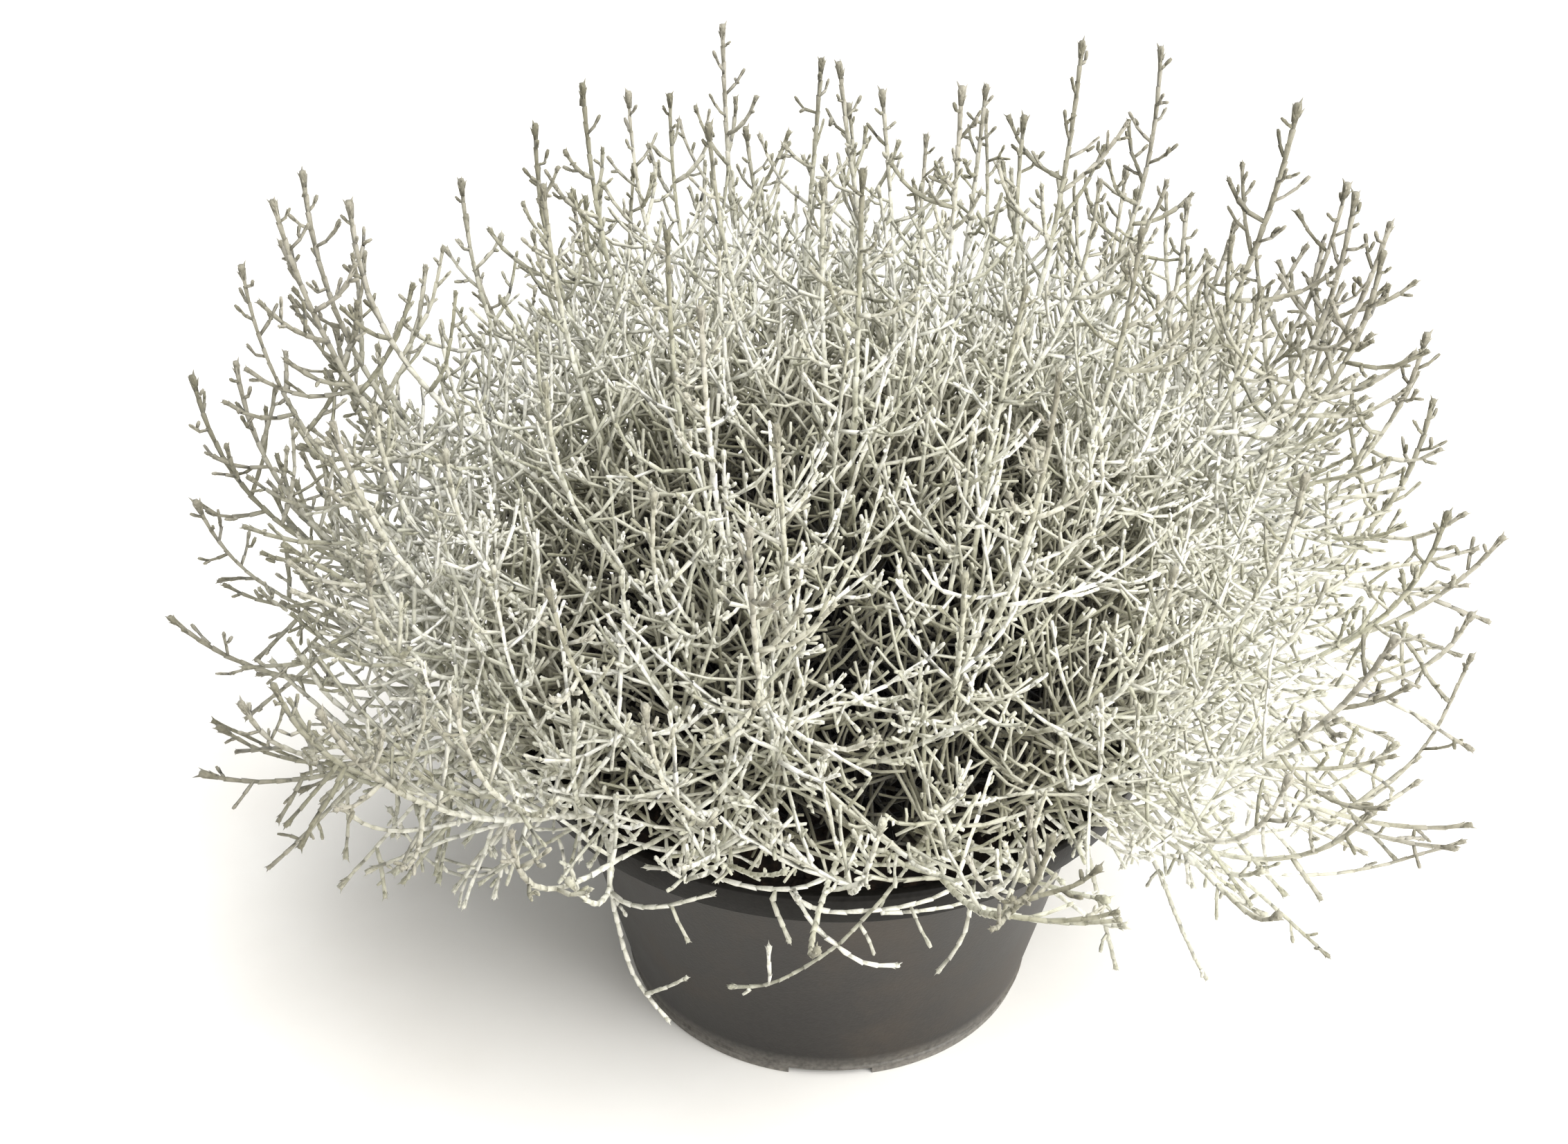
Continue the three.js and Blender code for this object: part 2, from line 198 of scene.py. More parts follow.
# %% Damp peat
def damp_peat():
    """Dark brown crumbs, some with the paler brown of half-rotted fibre."""
    material, shader = new_material("damp_peat")
    place = add_node(material, "ShaderNodeTexCoord").outputs["Object"]
    crumbs = add_node(material, "ShaderNodeTexNoise", Vector=place, Scale=260.0, Detail=4.0)
    fine = add_node(material, "ShaderNodeTexNoise", Vector=place, Scale=1400.0, Detail=2.0)
    colour = add_ramp(material, crumbs.outputs["Fac"], [(0.35, paint("#15110d")), (0.55, paint("#2a2019")),
                                                        (0.72, paint("#4a3a2b"))])
    bump = add_node(material, "ShaderNodeBump", Height=fine.outputs["Fac"], Strength=0.6, Distance=0.5 * MM)
    links = material.node_tree.links
    links.new(colour.outputs["Color"], shader.inputs["Base Color"])
    links.new(bump.outputs["Normal"], shader.inputs["Normal"])
    shader.inputs["Roughness"].default_value = 0.95
    return material


# %% [markdown]
# Each twig is sheathed in tiny pressed leaves under a thick white felt of hairs. The felt scatters light
# softly, so there is no gloss, only a faint bright edge. Three values painted on the mesh's points drive
# the colour. `leaf` runs from 0, deep in a joint, to 1 at the free end of a scale leaf. The joints are
# darker in fact, and the darkening of each leaf towards its base, under the lip of the leaf before it, is
# painted shade. The second value stands for age and painted shade together. It runs from 0 near the
# crown, where old dark wood lies in painted deep shade, over twigs greyed partly by worn felt and partly by
# painted shade, to the white young growth at about 0.6, and on to 1, the outermost tips, which are painted
# a little greyer as shade. `tone` differs from twig to twig.

# %% White felted twigs
def felted_twig():
    """White wool over olive-grey leaf, darker in the joints; painted shade under lips, deep inside and at the
    outer tips; browner where the wood is old.
    """
    material, shader = new_material("white_felted_twig")
    leaf = add_node(material, "ShaderNodeAttribute", {"attribute_name": "leaf"}).outputs["Fac"]
    youth_and_shade = add_node(material, "ShaderNodeAttribute", {"attribute_name": "youth_and_shade"}).outputs["Fac"]
    tone = add_node(material, "ShaderNodeAttribute", {"attribute_name": "tone"}).outputs["Fac"]
    place = add_node(material, "ShaderNodeTexCoord").outputs["Object"]
    wool = add_node(material, "ShaderNodeTexNoise", Vector=place, Scale=900.0, Detail=3.0, Roughness=0.7)
    worn = add_node(material, "ShaderNodeMath", {"operation": "MULTIPLY_ADD"}, _0=wool.outputs["Fac"],
                    _1=0.7, _2=-0.35)
    # The leaf value carries the real dark joints and a painted shade under each leaf's lip.
    cover_and_lip_shade = add_node(material, "ShaderNodeMath", {"operation": "ADD"}, _0=leaf, _1=worn.outputs[0])
    felt = add_ramp(material, cover_and_lip_shade.outputs[0], [(0.0, paint("#4a483f")), (0.34, paint("#a19f90")),
                                                   (0.64, paint("#e1e0d7")), (1.0, paint("#f8f7f3"))])
    greyed = add_node(material, "ShaderNodeMix", {"data_type": "RGBA", "blend_type": "MULTIPLY"},
                      _0=tone, _6=felt.outputs["Color"], _7=paint("#c6c6b9"))
    # Painted shade by depth in the dome: nearly black deep inside, where the brown is partly real old wood,
    # white in the open shell, and painted greyer again at the outermost tips.
    shade = add_ramp(material, youth_and_shade, [(0.0, paint("#14110c")), (0.14, paint("#423e33")),
                                       (0.32, paint("#b4b1a3")), (0.48, paint("#f4f3ec")),
                                       (0.62, paint("#ffffff")), (0.8, paint("#d2d0c7")),
                                       (1.0, paint("#a39f96"))])
    aged_and_shaded = add_node(material, "ShaderNodeMix", {"data_type": "RGBA", "blend_type": "MULTIPLY"}, _0=1.0,
                    _6=greyed.outputs[2], _7=shade.outputs["Color"])
    bump = add_node(material, "ShaderNodeBump", Height=wool.outputs["Fac"], Strength=0.35,
                    Distance=0.3 * MM)
    links = material.node_tree.links
    links.new(aged_and_shaded.outputs[2], shader.inputs["Base Color"])
    links.new(bump.outputs["Normal"], shader.inputs["Normal"])
    shader.inputs["Roughness"].default_value = 0.92
    shader.inputs["Sheen Weight"].default_value = 0.12
    shader.inputs["Sheen Roughness"].default_value = 0.6
    shader.inputs["Specular IOR Level"].default_value = 0.25
    return material


# %% [markdown]
# ## The pot
#
# The pot is a turned shape. It is modelled as a potter would raise it: one round face is extruded ring by
# ring, out to the foot, up the wall, over the lip and back down inside. Each ring is a radius and a
# height. The notches and drain holes are then cut with Boolean modifiers, and a Bevel modifier rounds
# every edge as a mould does.

# %% Pot sizes
POT_HEIGHT = 117
RIM_RADIUS = 115
COLLAR_HEIGHT = 12.5
SHOULDER_RADIUS = 100
FOOT_RADIUS = 76
FOOT_HEIGHT = 4.4
WALL = 1.8
LIP_WIDTH = 3.6
POT_SIDES = 128
NOTCHES = 4
NOTCH_WIDTH = 30
NOTCH_HEIGHT = 2.6
NOTCH_DEPTH = 12
DRAINS = 6
DRAIN_RADIUS = 4.5
DRAIN_SIDES = 24
DRAIN_DEPTH = 8
DRAIN_CIRCLE = 52
SOIL_LEVEL = POT_HEIGHT - 15
SOIL_MOUND = 3


def wall_radius(height):
    """The radius of the wall's outside at a height."""
    share = (height - FOOT_HEIGHT) / (POT_HEIGHT - COLLAR_HEIGHT - FOOT_HEIGHT)
    return FOOT_RADIUS + (SHOULDER_RADIUS - FOOT_RADIUS) * share


def inner_radius(height):
    """The radius of the wall's inside at a height."""
    return wall_radius(height) - WALL


def soil_top(radius):
    """The height of the growing mix at a distance from the pot's middle."""
    return SOIL_LEVEL + SOIL_MOUND * (0.5 - radius / SHOULDER_RADIUS)


# %% Rings of the pot
COLLAR_FOOT = POT_HEIGHT - COLLAR_HEIGHT
LIP = RIM_RADIUS - LIP_WIDTH
POT_FLOOR = FOOT_HEIGHT + WALL

outside_rings = [
    (FOOT_RADIUS - 3.4, FOOT_HEIGHT),
    (FOOT_RADIUS - 3.2, 0),
    (FOOT_RADIUS - 0.4, 0),
    (FOOT_RADIUS - 0.2, FOOT_HEIGHT - 0.7),
    (FOOT_RADIUS + 0.9, FOOT_HEIGHT - 0.3),
    (FOOT_RADIUS + 0.9, FOOT_HEIGHT + 0.2),
    (FOOT_RADIUS + 0.3, FOOT_HEIGHT + 0.8),
    (SHOULDER_RADIUS, COLLAR_FOOT),
    (RIM_RADIUS - 2.6, COLLAR_FOOT + 0.2),
    (RIM_RADIUS - 1.8, COLLAR_FOOT + 0.9),
    (RIM_RADIUS, POT_HEIGHT - 1.4),
    (RIM_RADIUS - 0.8, POT_HEIGHT),
]
inside_rings = [
    (LIP, POT_HEIGHT),
    (LIP - 0.7, POT_HEIGHT - 1.2),
    (LIP - 0.9, POT_HEIGHT - 3.2),
    (LIP - 1.6, POT_HEIGHT - 3.4),
    (LIP - 1.8, POT_HEIGHT - 6.0),
    (LIP - 2.4, POT_HEIGHT - 6.2),
    (LIP - 2.7, COLLAR_FOOT + WALL + 0.8),
    (inner_radius(COLLAR_FOOT + WALL) + 1.0, COLLAR_FOOT + WALL + 0.3),
    (inner_radius(COLLAR_FOOT + WALL), COLLAR_FOOT + WALL - 1.0),
    (inner_radius(POT_FLOOR), POT_FLOOR),
]


# %% Raise the pot
def raise_ring(start, end):
    """Extrudes the selected face from one (radius, height) to the next."""
    (radius, height), (new_radius, new_height) = start, end
    middle = (0, 0, new_height * MM)
    bpy.ops.mesh.extrude_region_move(TRANSFORM_OT_translate={"value": (0, 0, (new_height - height) * MM)})
    share = new_radius / radius
    bpy.ops.transform.resize(value=(share, share, 1), center_override=middle)


def raise_turned(name, rings, sides):
    """A turned piece, raised ring by ring from one round face."""
    new_start()
    radius, height = rings[0]
    bpy.ops.mesh.primitive_circle_add(vertices=sides, radius=radius * MM, fill_type="NGON",
                                      location=(0, 0, height * MM))
    piece = bpy.context.object
    piece.name = name
    bpy.ops.object.transform_apply(location=True)
    bpy.ops.object.mode_set(mode="EDIT")
    bpy.ops.mesh.select_all(action="SELECT")
    for start, end in zip(rings, rings[1:]):
        raise_ring(start, end)
    bpy.ops.mesh.select_all(action="SELECT")
    bpy.ops.mesh.normals_make_consistent(inside=False)
    bpy.ops.object.mode_set(mode="OBJECT")
    return piece


pot = raise_turned("nursery_pot", outside_rings + inside_rings, POT_SIDES)
print("pot raised with", len(pot.data.vertices), "points")


# %% Cut the foot's notches and the drain holes
def cut_away(piece, cutter):
    """Takes one solid away from a piece with a Boolean modifier, then removes the cutter."""
    pick(piece)
    cut = piece.modifiers.new("cut", "BOOLEAN")
    cut.operation = "DIFFERENCE"
    cut.object = cutter
    bpy.ops.object.modifier_apply(modifier=cut.name)
    bpy.data.objects.remove(cutter)


for i in range(NOTCHES):
    turn = i * 2 * math.pi / NOTCHES
    new_start()
    bpy.ops.mesh.primitive_cube_add(
        size=1, scale=(NOTCH_WIDTH * MM, NOTCH_DEPTH * MM, 2 * NOTCH_HEIGHT * MM), rotation=(0, 0, turn),
        location=(FOOT_RADIUS * MM * math.sin(turn), -FOOT_RADIUS * MM * math.cos(turn), 0))
    cut_away(pot, bpy.context.object)
for i in range(DRAINS):
    turn = (i + 0.5) * 2 * math.pi / DRAINS
    new_start()
    bpy.ops.mesh.primitive_cylinder_add(
        vertices=DRAIN_SIDES, radius=DRAIN_RADIUS * MM, depth=DRAIN_DEPTH * MM,
        location=(DRAIN_CIRCLE * MM * math.cos(turn), DRAIN_CIRCLE * MM * math.sin(turn), POT_FLOOR * MM))
    cut_away(pot, bpy.context.object)
print("pot has", len(pot.data.polygons), "faces after", NOTCHES, "notches and", DRAINS, "drain holes")


# %% Round the pot's edges
EDGE_ROUND = 0.22
SHARP_ANGLE = 32


def round_edges(piece, width, angle):
    """A small round on every edge sharper than an angle, then smooth shading between sharp edges."""
    pick(piece)
    bevel = piece.modifiers.new("mould_rounds", "BEVEL")
    bevel.width = width * MM
    bevel.segments = 2
    bevel.limit_method = "ANGLE"
    bevel.angle_limit = math.radians(angle)
    bpy.ops.object.modifier_apply(modifier=bevel.name)
    bpy.ops.object.shade_smooth_by_angle(angle=math.radians(angle))


round_edges(pot, EDGE_ROUND, SHARP_ANGLE)
pot.data.materials.append(moulded_polypropylene())
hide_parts("pot")
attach(pot, "root")
print("pot finished with", len(pot.data.polygons), "faces")

# %% [markdown]
# ## The growing mix
#
# The mix fills the pot to a finger's width below the lip. A turned plug is raised the same way, its top is
# inset into rings and roughened, and one crumb is modelled and copied all over the top.

# %% Growing mix
SOIL_GAP = 0.35
CRUMBS = 1500
CRUMB_SMALL = 0.8
CRUMB_LARGE = 2.6
CRUMB_SHAPE = (1, 0.72, 0.5)
CRUMB_LEAST = 0.8
CRUMB_RANGE = 0.4
CRUMB_SEED = 21
CRUMB_RISE = 0.3
CRUMB_MARGIN = 2
SOIL_SIDES = 96
RING_STEP = 4.2
SOIL_LUMPS = 2.2
LUMPS_PER_METRE = 60
SOIL_GRIT = 1.0
GRIT_PER_METRE = 240
TOP_DEPTH = 4
EDGE_DEPTH = 2
soil_edge = inner_radius(SOIL_LEVEL - EDGE_DEPTH) - SOIL_GAP
soil_rings = [(inner_radius(POT_FLOOR + SOIL_GAP) - SOIL_GAP, POT_FLOOR + SOIL_GAP),
              (soil_edge, soil_top(soil_edge))]
while soil_rings[-1][0] > 2 * RING_STEP:
    radius = soil_rings[-1][0] - RING_STEP
    soil_rings.append((radius, soil_top(radius)))

soil = raise_turned("growing_mix", soil_rings, SOIL_SIDES)
for vertex in soil.data.vertices:
    if vertex.co.z > (SOIL_LEVEL - TOP_DEPTH) * MM:
        vertex.co.z += (SOIL_LUMPS * MM * noise.noise(vertex.co * LUMPS_PER_METRE)
                        + SOIL_GRIT * MM * noise.noise(vertex.co * GRIT_PER_METRE))
print("growing mix has", len(soil.data.polygons), "faces")


# %% One crumb, copied
def template_of(piece):
    """A piece's points and triangles as arrays, after which the piece itself is removed."""
    piece.data.calc_loop_triangles()
    points = np.array([vertex.co for vertex in piece.data.vertices]) / MM
    faces = np.array([triangle.vertices for triangle in piece.data.loop_triangles])
    bpy.data.objects.remove(piece)
    return points, faces


def random_turn(draws):
    """A rotation matrix, any way round, from three draws."""
    yaw, tilt, roll = draws * 2 * math.pi
    about_z = np.array([[math.cos(yaw), -math.sin(yaw), 0], [math.sin(yaw), math.cos(yaw), 0], [0, 0, 1]])
    about_x = np.array([[1, 0, 0], [0, math.cos(tilt), -math.sin(tilt)], [0, math.sin(tilt), math.cos(tilt)]])
    about_y = np.array([[math.cos(roll), 0, math.sin(roll)], [0, 1, 0], [-math.sin(roll), 0, math.cos(roll)]])
    return about_z @ about_x @ about_y


def mesh_from(name, points, faces):
    """A mesh from points in millimetres and groups of faces, each group with one number of corners."""
    mesh = bpy.data.meshes.new(name)
    corners = np.concatenate([group.ravel() for group in faces]).astype(np.int32)
    sizes = np.concatenate([np.full(len(group), group.shape[1]) for group in faces])
    mesh.vertices.add(len(points))
    mesh.vertices.foreach_set("co", (points * MM).astype(np.float32).ravel())
    mesh.loops.add(len(corners))
    mesh.loops.foreach_set("vertex_index", corners)
    mesh.polygons.add(len(sizes))
    mesh.polygons.foreach_set("loop_start", np.concatenate([[0], np.cumsum(sizes)[:-1]]).astype(np.int32))
    mesh.update(calc_edges=True)
    mesh.shade_smooth()
    return mesh


def object_from(mesh):
    """An object for a mesh, under the mesh's own name."""
    piece = bpy.data.objects.new(mesh.name, mesh)
    bpy.context.scene.collection.objects.link(piece)
    return piece


new_start()
bpy.ops.mesh.primitive_ico_sphere_add(subdivisions=1, radius=1 * MM)
bpy.ops.object.mode_set(mode="EDIT")
bpy.ops.transform.resize(value=CRUMB_SHAPE, center_override=(0, 0, 0))
bpy.ops.object.mode_set(mode="OBJECT")
crumb_points, crumb_faces = template_of(bpy.context.object)

crumb_draws = np.random.default_rng(CRUMB_SEED)
scattered_points = []
scattered_faces = []
for i in range(CRUMBS):
    turn, share, size, *spin = crumb_draws.random(6)
    angle = turn * 2 * math.pi
    radius = (soil_edge - CRUMB_MARGIN) * math.sqrt(share)
    scale = CRUMB_SMALL + (CRUMB_LARGE - CRUMB_SMALL) * size ** 3
    dents = CRUMB_LEAST + CRUMB_RANGE * crumb_draws.random((len(crumb_points), 1))
    shape = crumb_points * scale * dents
    place = [radius * math.cos(angle), radius * math.sin(angle), soil_top(radius) + CRUMB_RISE]
    scattered_points.append(shape @ random_turn(np.array(spin)).T + place)
    scattered_faces.append(crumb_faces + i * len(crumb_points))
crumb_mesh = mesh_from("crumbs", np.concatenate(scattered_points), [np.concatenate(scattered_faces)])
crumbs = object_from(crumb_mesh)

pick(soil, crumbs)
bpy.ops.object.join()
soil.data.materials.append(damp_peat())
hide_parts("soil")
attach(soil, "root")
print("growing mix finished with", len(soil.data.polygons), "faces and", CRUMBS, "crumbs")

# %% [markdown]
# ## How the bush grows
#
# A cushion bush is a dome of fine twigs. Its main stems leave the crown in all directions, lean out over
# the rim and turn up again, so that their upper ends stand nearly upright all over the dome. Up to three
# long inner shoots leave each stem low down and fill the middle. Side twigs leave stems and shoots at 46 to
# 68 degrees and arch up, shorter and shorter towards the tip, and carry twiglets the same way. The packed
# stems were grown by such a rule, with seeded draws. The same rule is repeated here, so the fine twigs
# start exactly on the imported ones, and then it goes on with many more.

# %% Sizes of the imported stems
REACH_X = 224
REACH_Y = 219
BUSH_HEIGHT = 342
DOME_REACH = 243
DOME_FALL = 36
FALL_STARTS = 0.9
FALL_WIDTH = 0.75
STEMS = 28
CROWN_RADIUS = 44
CROWN_DROP = 6
SOCKET_DEPTH = 16
STEEPEST = math.radians(7)
LOWEST = math.radians(91)
TOP_BIAS = 1.4
FRONT_RISE = 0.27
TURN_JITTER = 0.16
LEAST_DEPTH = 0.93
DEPTH_RANGE = 0.07
GOLDEN_ANGLE = math.pi * (3 - math.sqrt(5))
STEM_RADIUS = 1.9
STEM_STEPS = 8
WIDEST_LEAN = math.radians(74)
LEAN_GAIN = 1.2
LEAST_LEAN = 0.14
TIP_LEAN = 0.3
FIRST_HANDLE = 0.37
LAST_HANDLE = 0.42
BOWS = (0, 10, -10, 20, -20, 32, -32)
LIFTS = (0, 8, 16, 24, 32, 42, 54)
SIDES = 3
INNER_SHOOTS = 3
FIRST_SHOOT = 22
SHOOT_SPACING = 24
SHOOT_SHARE = 0.62
SHOOT_SPREAD = (22, 42)
FIRST_NODE = 14
NODE_SPACING = 15
SPACING_GROWTH = 2.4
BARE_LENGTH = 116
LENGTH_PER_DISTANCE = 0.55
LONGEST_TWIG = 84
SHORTEST_TWIG = 9
TWIG_RADIUS = 1.1
TWIG_SPREAD = (46, 68)
HANG_BELOW = 170
HANG_START = -0.2
COURSE = 0.4
ARCH = 0.8
SAG = -0.4
ATTEMPTS = 12
LEAST_SIZE = 0.75
SIZE_RANGE = 0.5
FREE_FROM = 0.25
LONG_TWIG = 70
TWIGLET_REACH = 0.6
STEM_MARGIN = 1
FACE_SHIFT = 0.16
ATTEMPT_SHRINK = 0.05
COLLAR_RISE = 3
FIRST_TWIGLET = 9
TWIGLET_SPACING = 20
LONGEST_TWIGLET = 22
SHORTEST_TWIGLET = 6
CLUB_RADIUS = 1.6
CLEARANCE = 0.5
POT_ROOM = 4
LIP_ROOM = 4.5
SOIL_ROOM = 2
FLOOR_ROOM = 12
HEM_HEIGHT = 10
HEM_SLOPE = 0.87
TIP_SEED = 1000
SHOOT_SEED = 3100
TWIG_SEED = 5000
TWIGLET_SEED = 9000

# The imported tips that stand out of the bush's outline: across, back, and above the floor
LEADERS = [
    (-40, 96, 325), (76, 34, 338), (138, 4, 328), (-84, 40, 322), (-172, -12, 302), (-216, -30, 164),
    (-204, -60, 122), (208, -20, 192), (196, -76, 116), (172, 20, 285),
]

# %% Seeded draws
WORD = 0xFFFFFFFF
UP = np.array([0.0, 0.0, 1.0])
CROWN = np.array([0.0, 0.0, SOIL_LEVEL - CROWN_DROP])


def dice(seed):
    """A seeded stream of numbers from 0 to 1, the same in each run."""
    state = seed & WORD

    def draw():
        nonlocal state
        state = (state + 0x6D2B79F5) & WORD
        mixed = ((state ^ (state >> 15)) * (state | 1)) & WORD
        mixed ^= (mixed + (mixed ^ (mixed >> 7)) * (mixed | 61)) & WORD
        return ((mixed ^ (mixed >> 14)) & WORD) / 4294967296

    return draw


# %% Lines, frames and places on them
def between(limits, share):
    """The value at a share of the way from one limit to the other."""
    return limits[0] + (limits[1] - limits[0]) * share


def unit(vector):
    """The vector's direction."""
    return vector / math.sqrt(vector @ vector)


def bezier(controls, steps):
    """Points along a Bezier curve, ends included."""
    t = np.linspace(0, 1, steps + 1)[:, None]
    level = [control[None, :] for control in controls]
    while len(level) > 1:
        level = [(1 - t) * a + t * b for a, b in zip(level, level[1:])]
    return level[0]


def square_to(direction):
    """Some direction square to another."""
    helper = np.array([1.0, 0.0, 0.0]) if abs(direction[2]) > 0.9 else UP
    return unit(np.cross(helper, direction))


def frame_at(points, ring):
    """Two directions square to the line at one of its points, which don't twist along it."""
    across = None
    for i in range(ring + 1):
        tangent = unit(points[min(i + 1, len(points) - 1)] - points[max(i - 1, 0)])
        across = square_to(tangent) if across is None else across
        across = unit(across - tangent * (across @ tangent))
    return across, unit(np.cross(across, tangent))


def from_tip(points, distance):
    """The place at a distance from a line's tip, with its direction and two directions square to it."""
    left = distance
    for i in range(len(points) - 1, 0, -1):
        step = math.sqrt((points[i] - points[i - 1]) @ (points[i] - points[i - 1]))
        if left <= step:
            share = left / step
            place = points[i] * (1 - share) + points[i - 1] * share
            return place, unit(points[i] - points[i - 1]), *frame_at(points, i - 1)
        left -= step
    return None


def length_of(points):
    """The length of a line."""
    return float(np.linalg.norm(np.diff(points, axis=0), axis=1).sum())


def finely(points, step=3):
    """The same line with a point at least every few millimetres."""
    fine = [points[:1]]
    for start, end in zip(points, points[1:]):
        count = math.ceil(math.sqrt((end - start) @ (end - start)) / step)
        shares = (np.arange(1, count + 1) / count)[:, None]
        fine.append(start * (1 - shares) + end * shares)
    return np.concatenate(fine)


def meets_pot(points, hanging=False):
    """True where a twig would touch the pot, the mix or the floor. Few may hang over the pot's front."""
    z = points[:, 2]
    radius = np.hypot(points[:, 0], points[:, 1])
    clear_over = (z > POT_HEIGHT + LIP_ROOM) | (radius > RIM_RADIUS + POT_ROOM)
    inside = (z > soil_top(radius) + SOIL_ROOM) & (radius < inner_radius(z) - POT_ROOM)
    outside = (z < POT_HEIGHT - COLLAR_HEIGHT - POT_ROOM) & (radius > wall_radius(z) + POT_ROOM)
    low = (radius > RIM_RADIUS + POT_ROOM) & (z < HEM_HEIGHT - HEM_SLOPE * points[:, 1])
    return bool(np.any((z < FLOOR_ROOM) | (low & (not hanging)) | ~(clear_over | inside | outside)))


# %% The dome of tips
def dome_reach(angle):
    """How far the dome of tips lies from the crown, for an angle from straight up."""
    fall = np.clip((angle - FALL_STARTS) / FALL_WIDTH, 0, 1)
    return DOME_REACH - DOME_FALL * fall * fall * (3 - 2 * fall)


def share_of_reach(points):
    """How far out points lie: 0 at the crown, 1 on the dome."""
    offset = points - CROWN
    angle = np.arctan2(np.hypot(offset[:, 0], offset[:, 1]), offset[:, 2])
    return np.linalg.norm(offset, axis=1) / dome_reach(angle)


HEM_INSIDE = 88
HEM_EDGE = 30
HEM_TOP = 170
HEM_FADE = 40


def hem_share(points):
    """How surely points lie in the hem of low twigs round the pot: 0 inside the rim, 1 well over it."""
    over_rim = np.clip((np.hypot(points[:, 0], points[:, 1]) - HEM_INSIDE) / HEM_EDGE, 0, 1)
    return over_rim * np.clip((HEM_TOP - points[:, 2]) / HEM_FADE, 0, 1)


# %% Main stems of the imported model
def dome_tip(share, lowest, turn, depth):
    """A tip on the dome. More stand on top than lower down, and along the front they stay higher."""
    front = max(-math.sin(turn), 0)
    share = share ** TOP_BIAS
    angle = math.acos(math.cos(STEEPEST) * (1 - share) + math.cos(lowest) * share)
    angle *= 1 - FRONT_RISE * front * front
    reach = dome_reach(angle) * depth
    flat = np.array([math.cos(turn), math.sin(turn), 0])
    return CROWN + flat * reach * math.sin(angle) + UP * reach * math.cos(angle)


def packed_tips():
    """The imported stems' tips: an even spiral over the dome, with some tips moved to leading places."""
    tips = []
    for i in range(STEMS):
        draw = dice(TIP_SEED + i)
        turn = i * GOLDEN_ANGLE + TURN_JITTER * (draw() - 0.5)
        tip = dome_tip((i + 0.5) / STEMS, LOWEST, turn, LEAST_DEPTH + DEPTH_RANGE * draw())
        tips.append({"tip": tip, "turn": turn, "led": False})
    for leader in LEADERS:
        place = np.array(leader, float)
        free = [item for item in tips if not item["led"]]
        nearest = min(free, key=lambda item: np.linalg.norm(place - item["tip"]))
        nearest["tip"] = place
        nearest["led"] = True
    return tips


def stem_controls(collar, tip, bow, lift, tip_lean=TIP_LEAN, bend=2):
    """A stem leans out from its collar and turns up again at its tip. These are its curve's controls."""
    chord = tip - collar
    flat = math.hypot(chord[0], chord[1])
    heading = np.array([chord[0], chord[1], 0]) / max(flat, 0.1)
    lean = math.atan2(flat, chord[2])
    side = np.cross(heading, UP)
    start = min(lean * LEAN_GAIN + LEAST_LEAN, WIDEST_LEAN)
    end = tip_lean * lean ** bend
    length = math.sqrt(chord @ chord)
    reach = FIRST_HANDLE * length
    first = collar + heading * reach * math.sin(start) + UP * (reach * math.cos(start) + lift) + side * bow
    reach = LAST_HANDLE * length
    second = tip - heading * reach * math.sin(end) + UP * (lift - reach * math.cos(end)) + side * bow
    return [collar, first, second, tip]


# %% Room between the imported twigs
class Thicket:
    """Everything grown so far, as straight pieces with a radius and the line that each belongs to."""

    def __init__(self):
        self.starts = np.zeros((0, 3))
        self.ends = np.zeros((0, 3))
        self.radii = np.zeros(0)
        self.owners = np.zeros(0, int)

    def keep(self, points, radius, owner):
        count = len(points) - 1
        self.starts = np.concatenate([self.starts, points[:-1]])
        self.ends = np.concatenate([self.ends, points[1:]])
        self.radii = np.concatenate([self.radii, np.full(count, radius)])
        self.owners = np.concatenate([self.owners, np.full(count, owner)])

    def is_clear(self, points, radius, parent):
        room = radius + self.radii + CLEARANCE
        others = self.owners != parent
        for start, end in zip(points, points[1:]):
            if np.any((self.distances(start, end) <= room) & others):
                return False
        return True

    def distances(self, start, end):
        """The shortest distances from one straight piece to all of them."""
        u = end - start
        v = self.ends - self.starts
        w = start - self.starts
        uu = u @ u
        uv = v @ u
        vv = (v * v).sum(1)
        uw = w @ u
        vw = (v * w).sum(1)
        flat = uu * vv - uv * uv
        with np.errstate(divide="ignore", invalid="ignore"):
            s = np.where(flat > 1e-9, np.clip((uv * vw - vv * uw) / flat, 0, 1), 0)
        t = np.clip((uv * s + vw) / vv, 0, 1)
        s = np.clip((uv * t - uw) / uu, 0, 1)
        return np.linalg.norm(start + u * s[:, None] - self.starts - v * t[:, None], axis=1)


# %% Packed inner shoots, side twigs and twiglets
def twig_controls(place, direction, across, over, length, spread, turn):
    """A side twig leaves its parent at an angle and arches up. A low one that starts downward hangs."""
    out = across * math.sin(turn) + over * math.cos(turn)
    start = unit(direction * math.cos(spread) + out * math.sin(spread))
    hangs = start[2] < HANG_START and place[2] < HANG_BELOW
    end = unit(start + direction * COURSE + UP * (SAG if hangs else ARCH))
    middle = place + start * length * 0.5
    return [place, middle, middle + end * length * 0.5]


thicket = Thicket()
lines = []


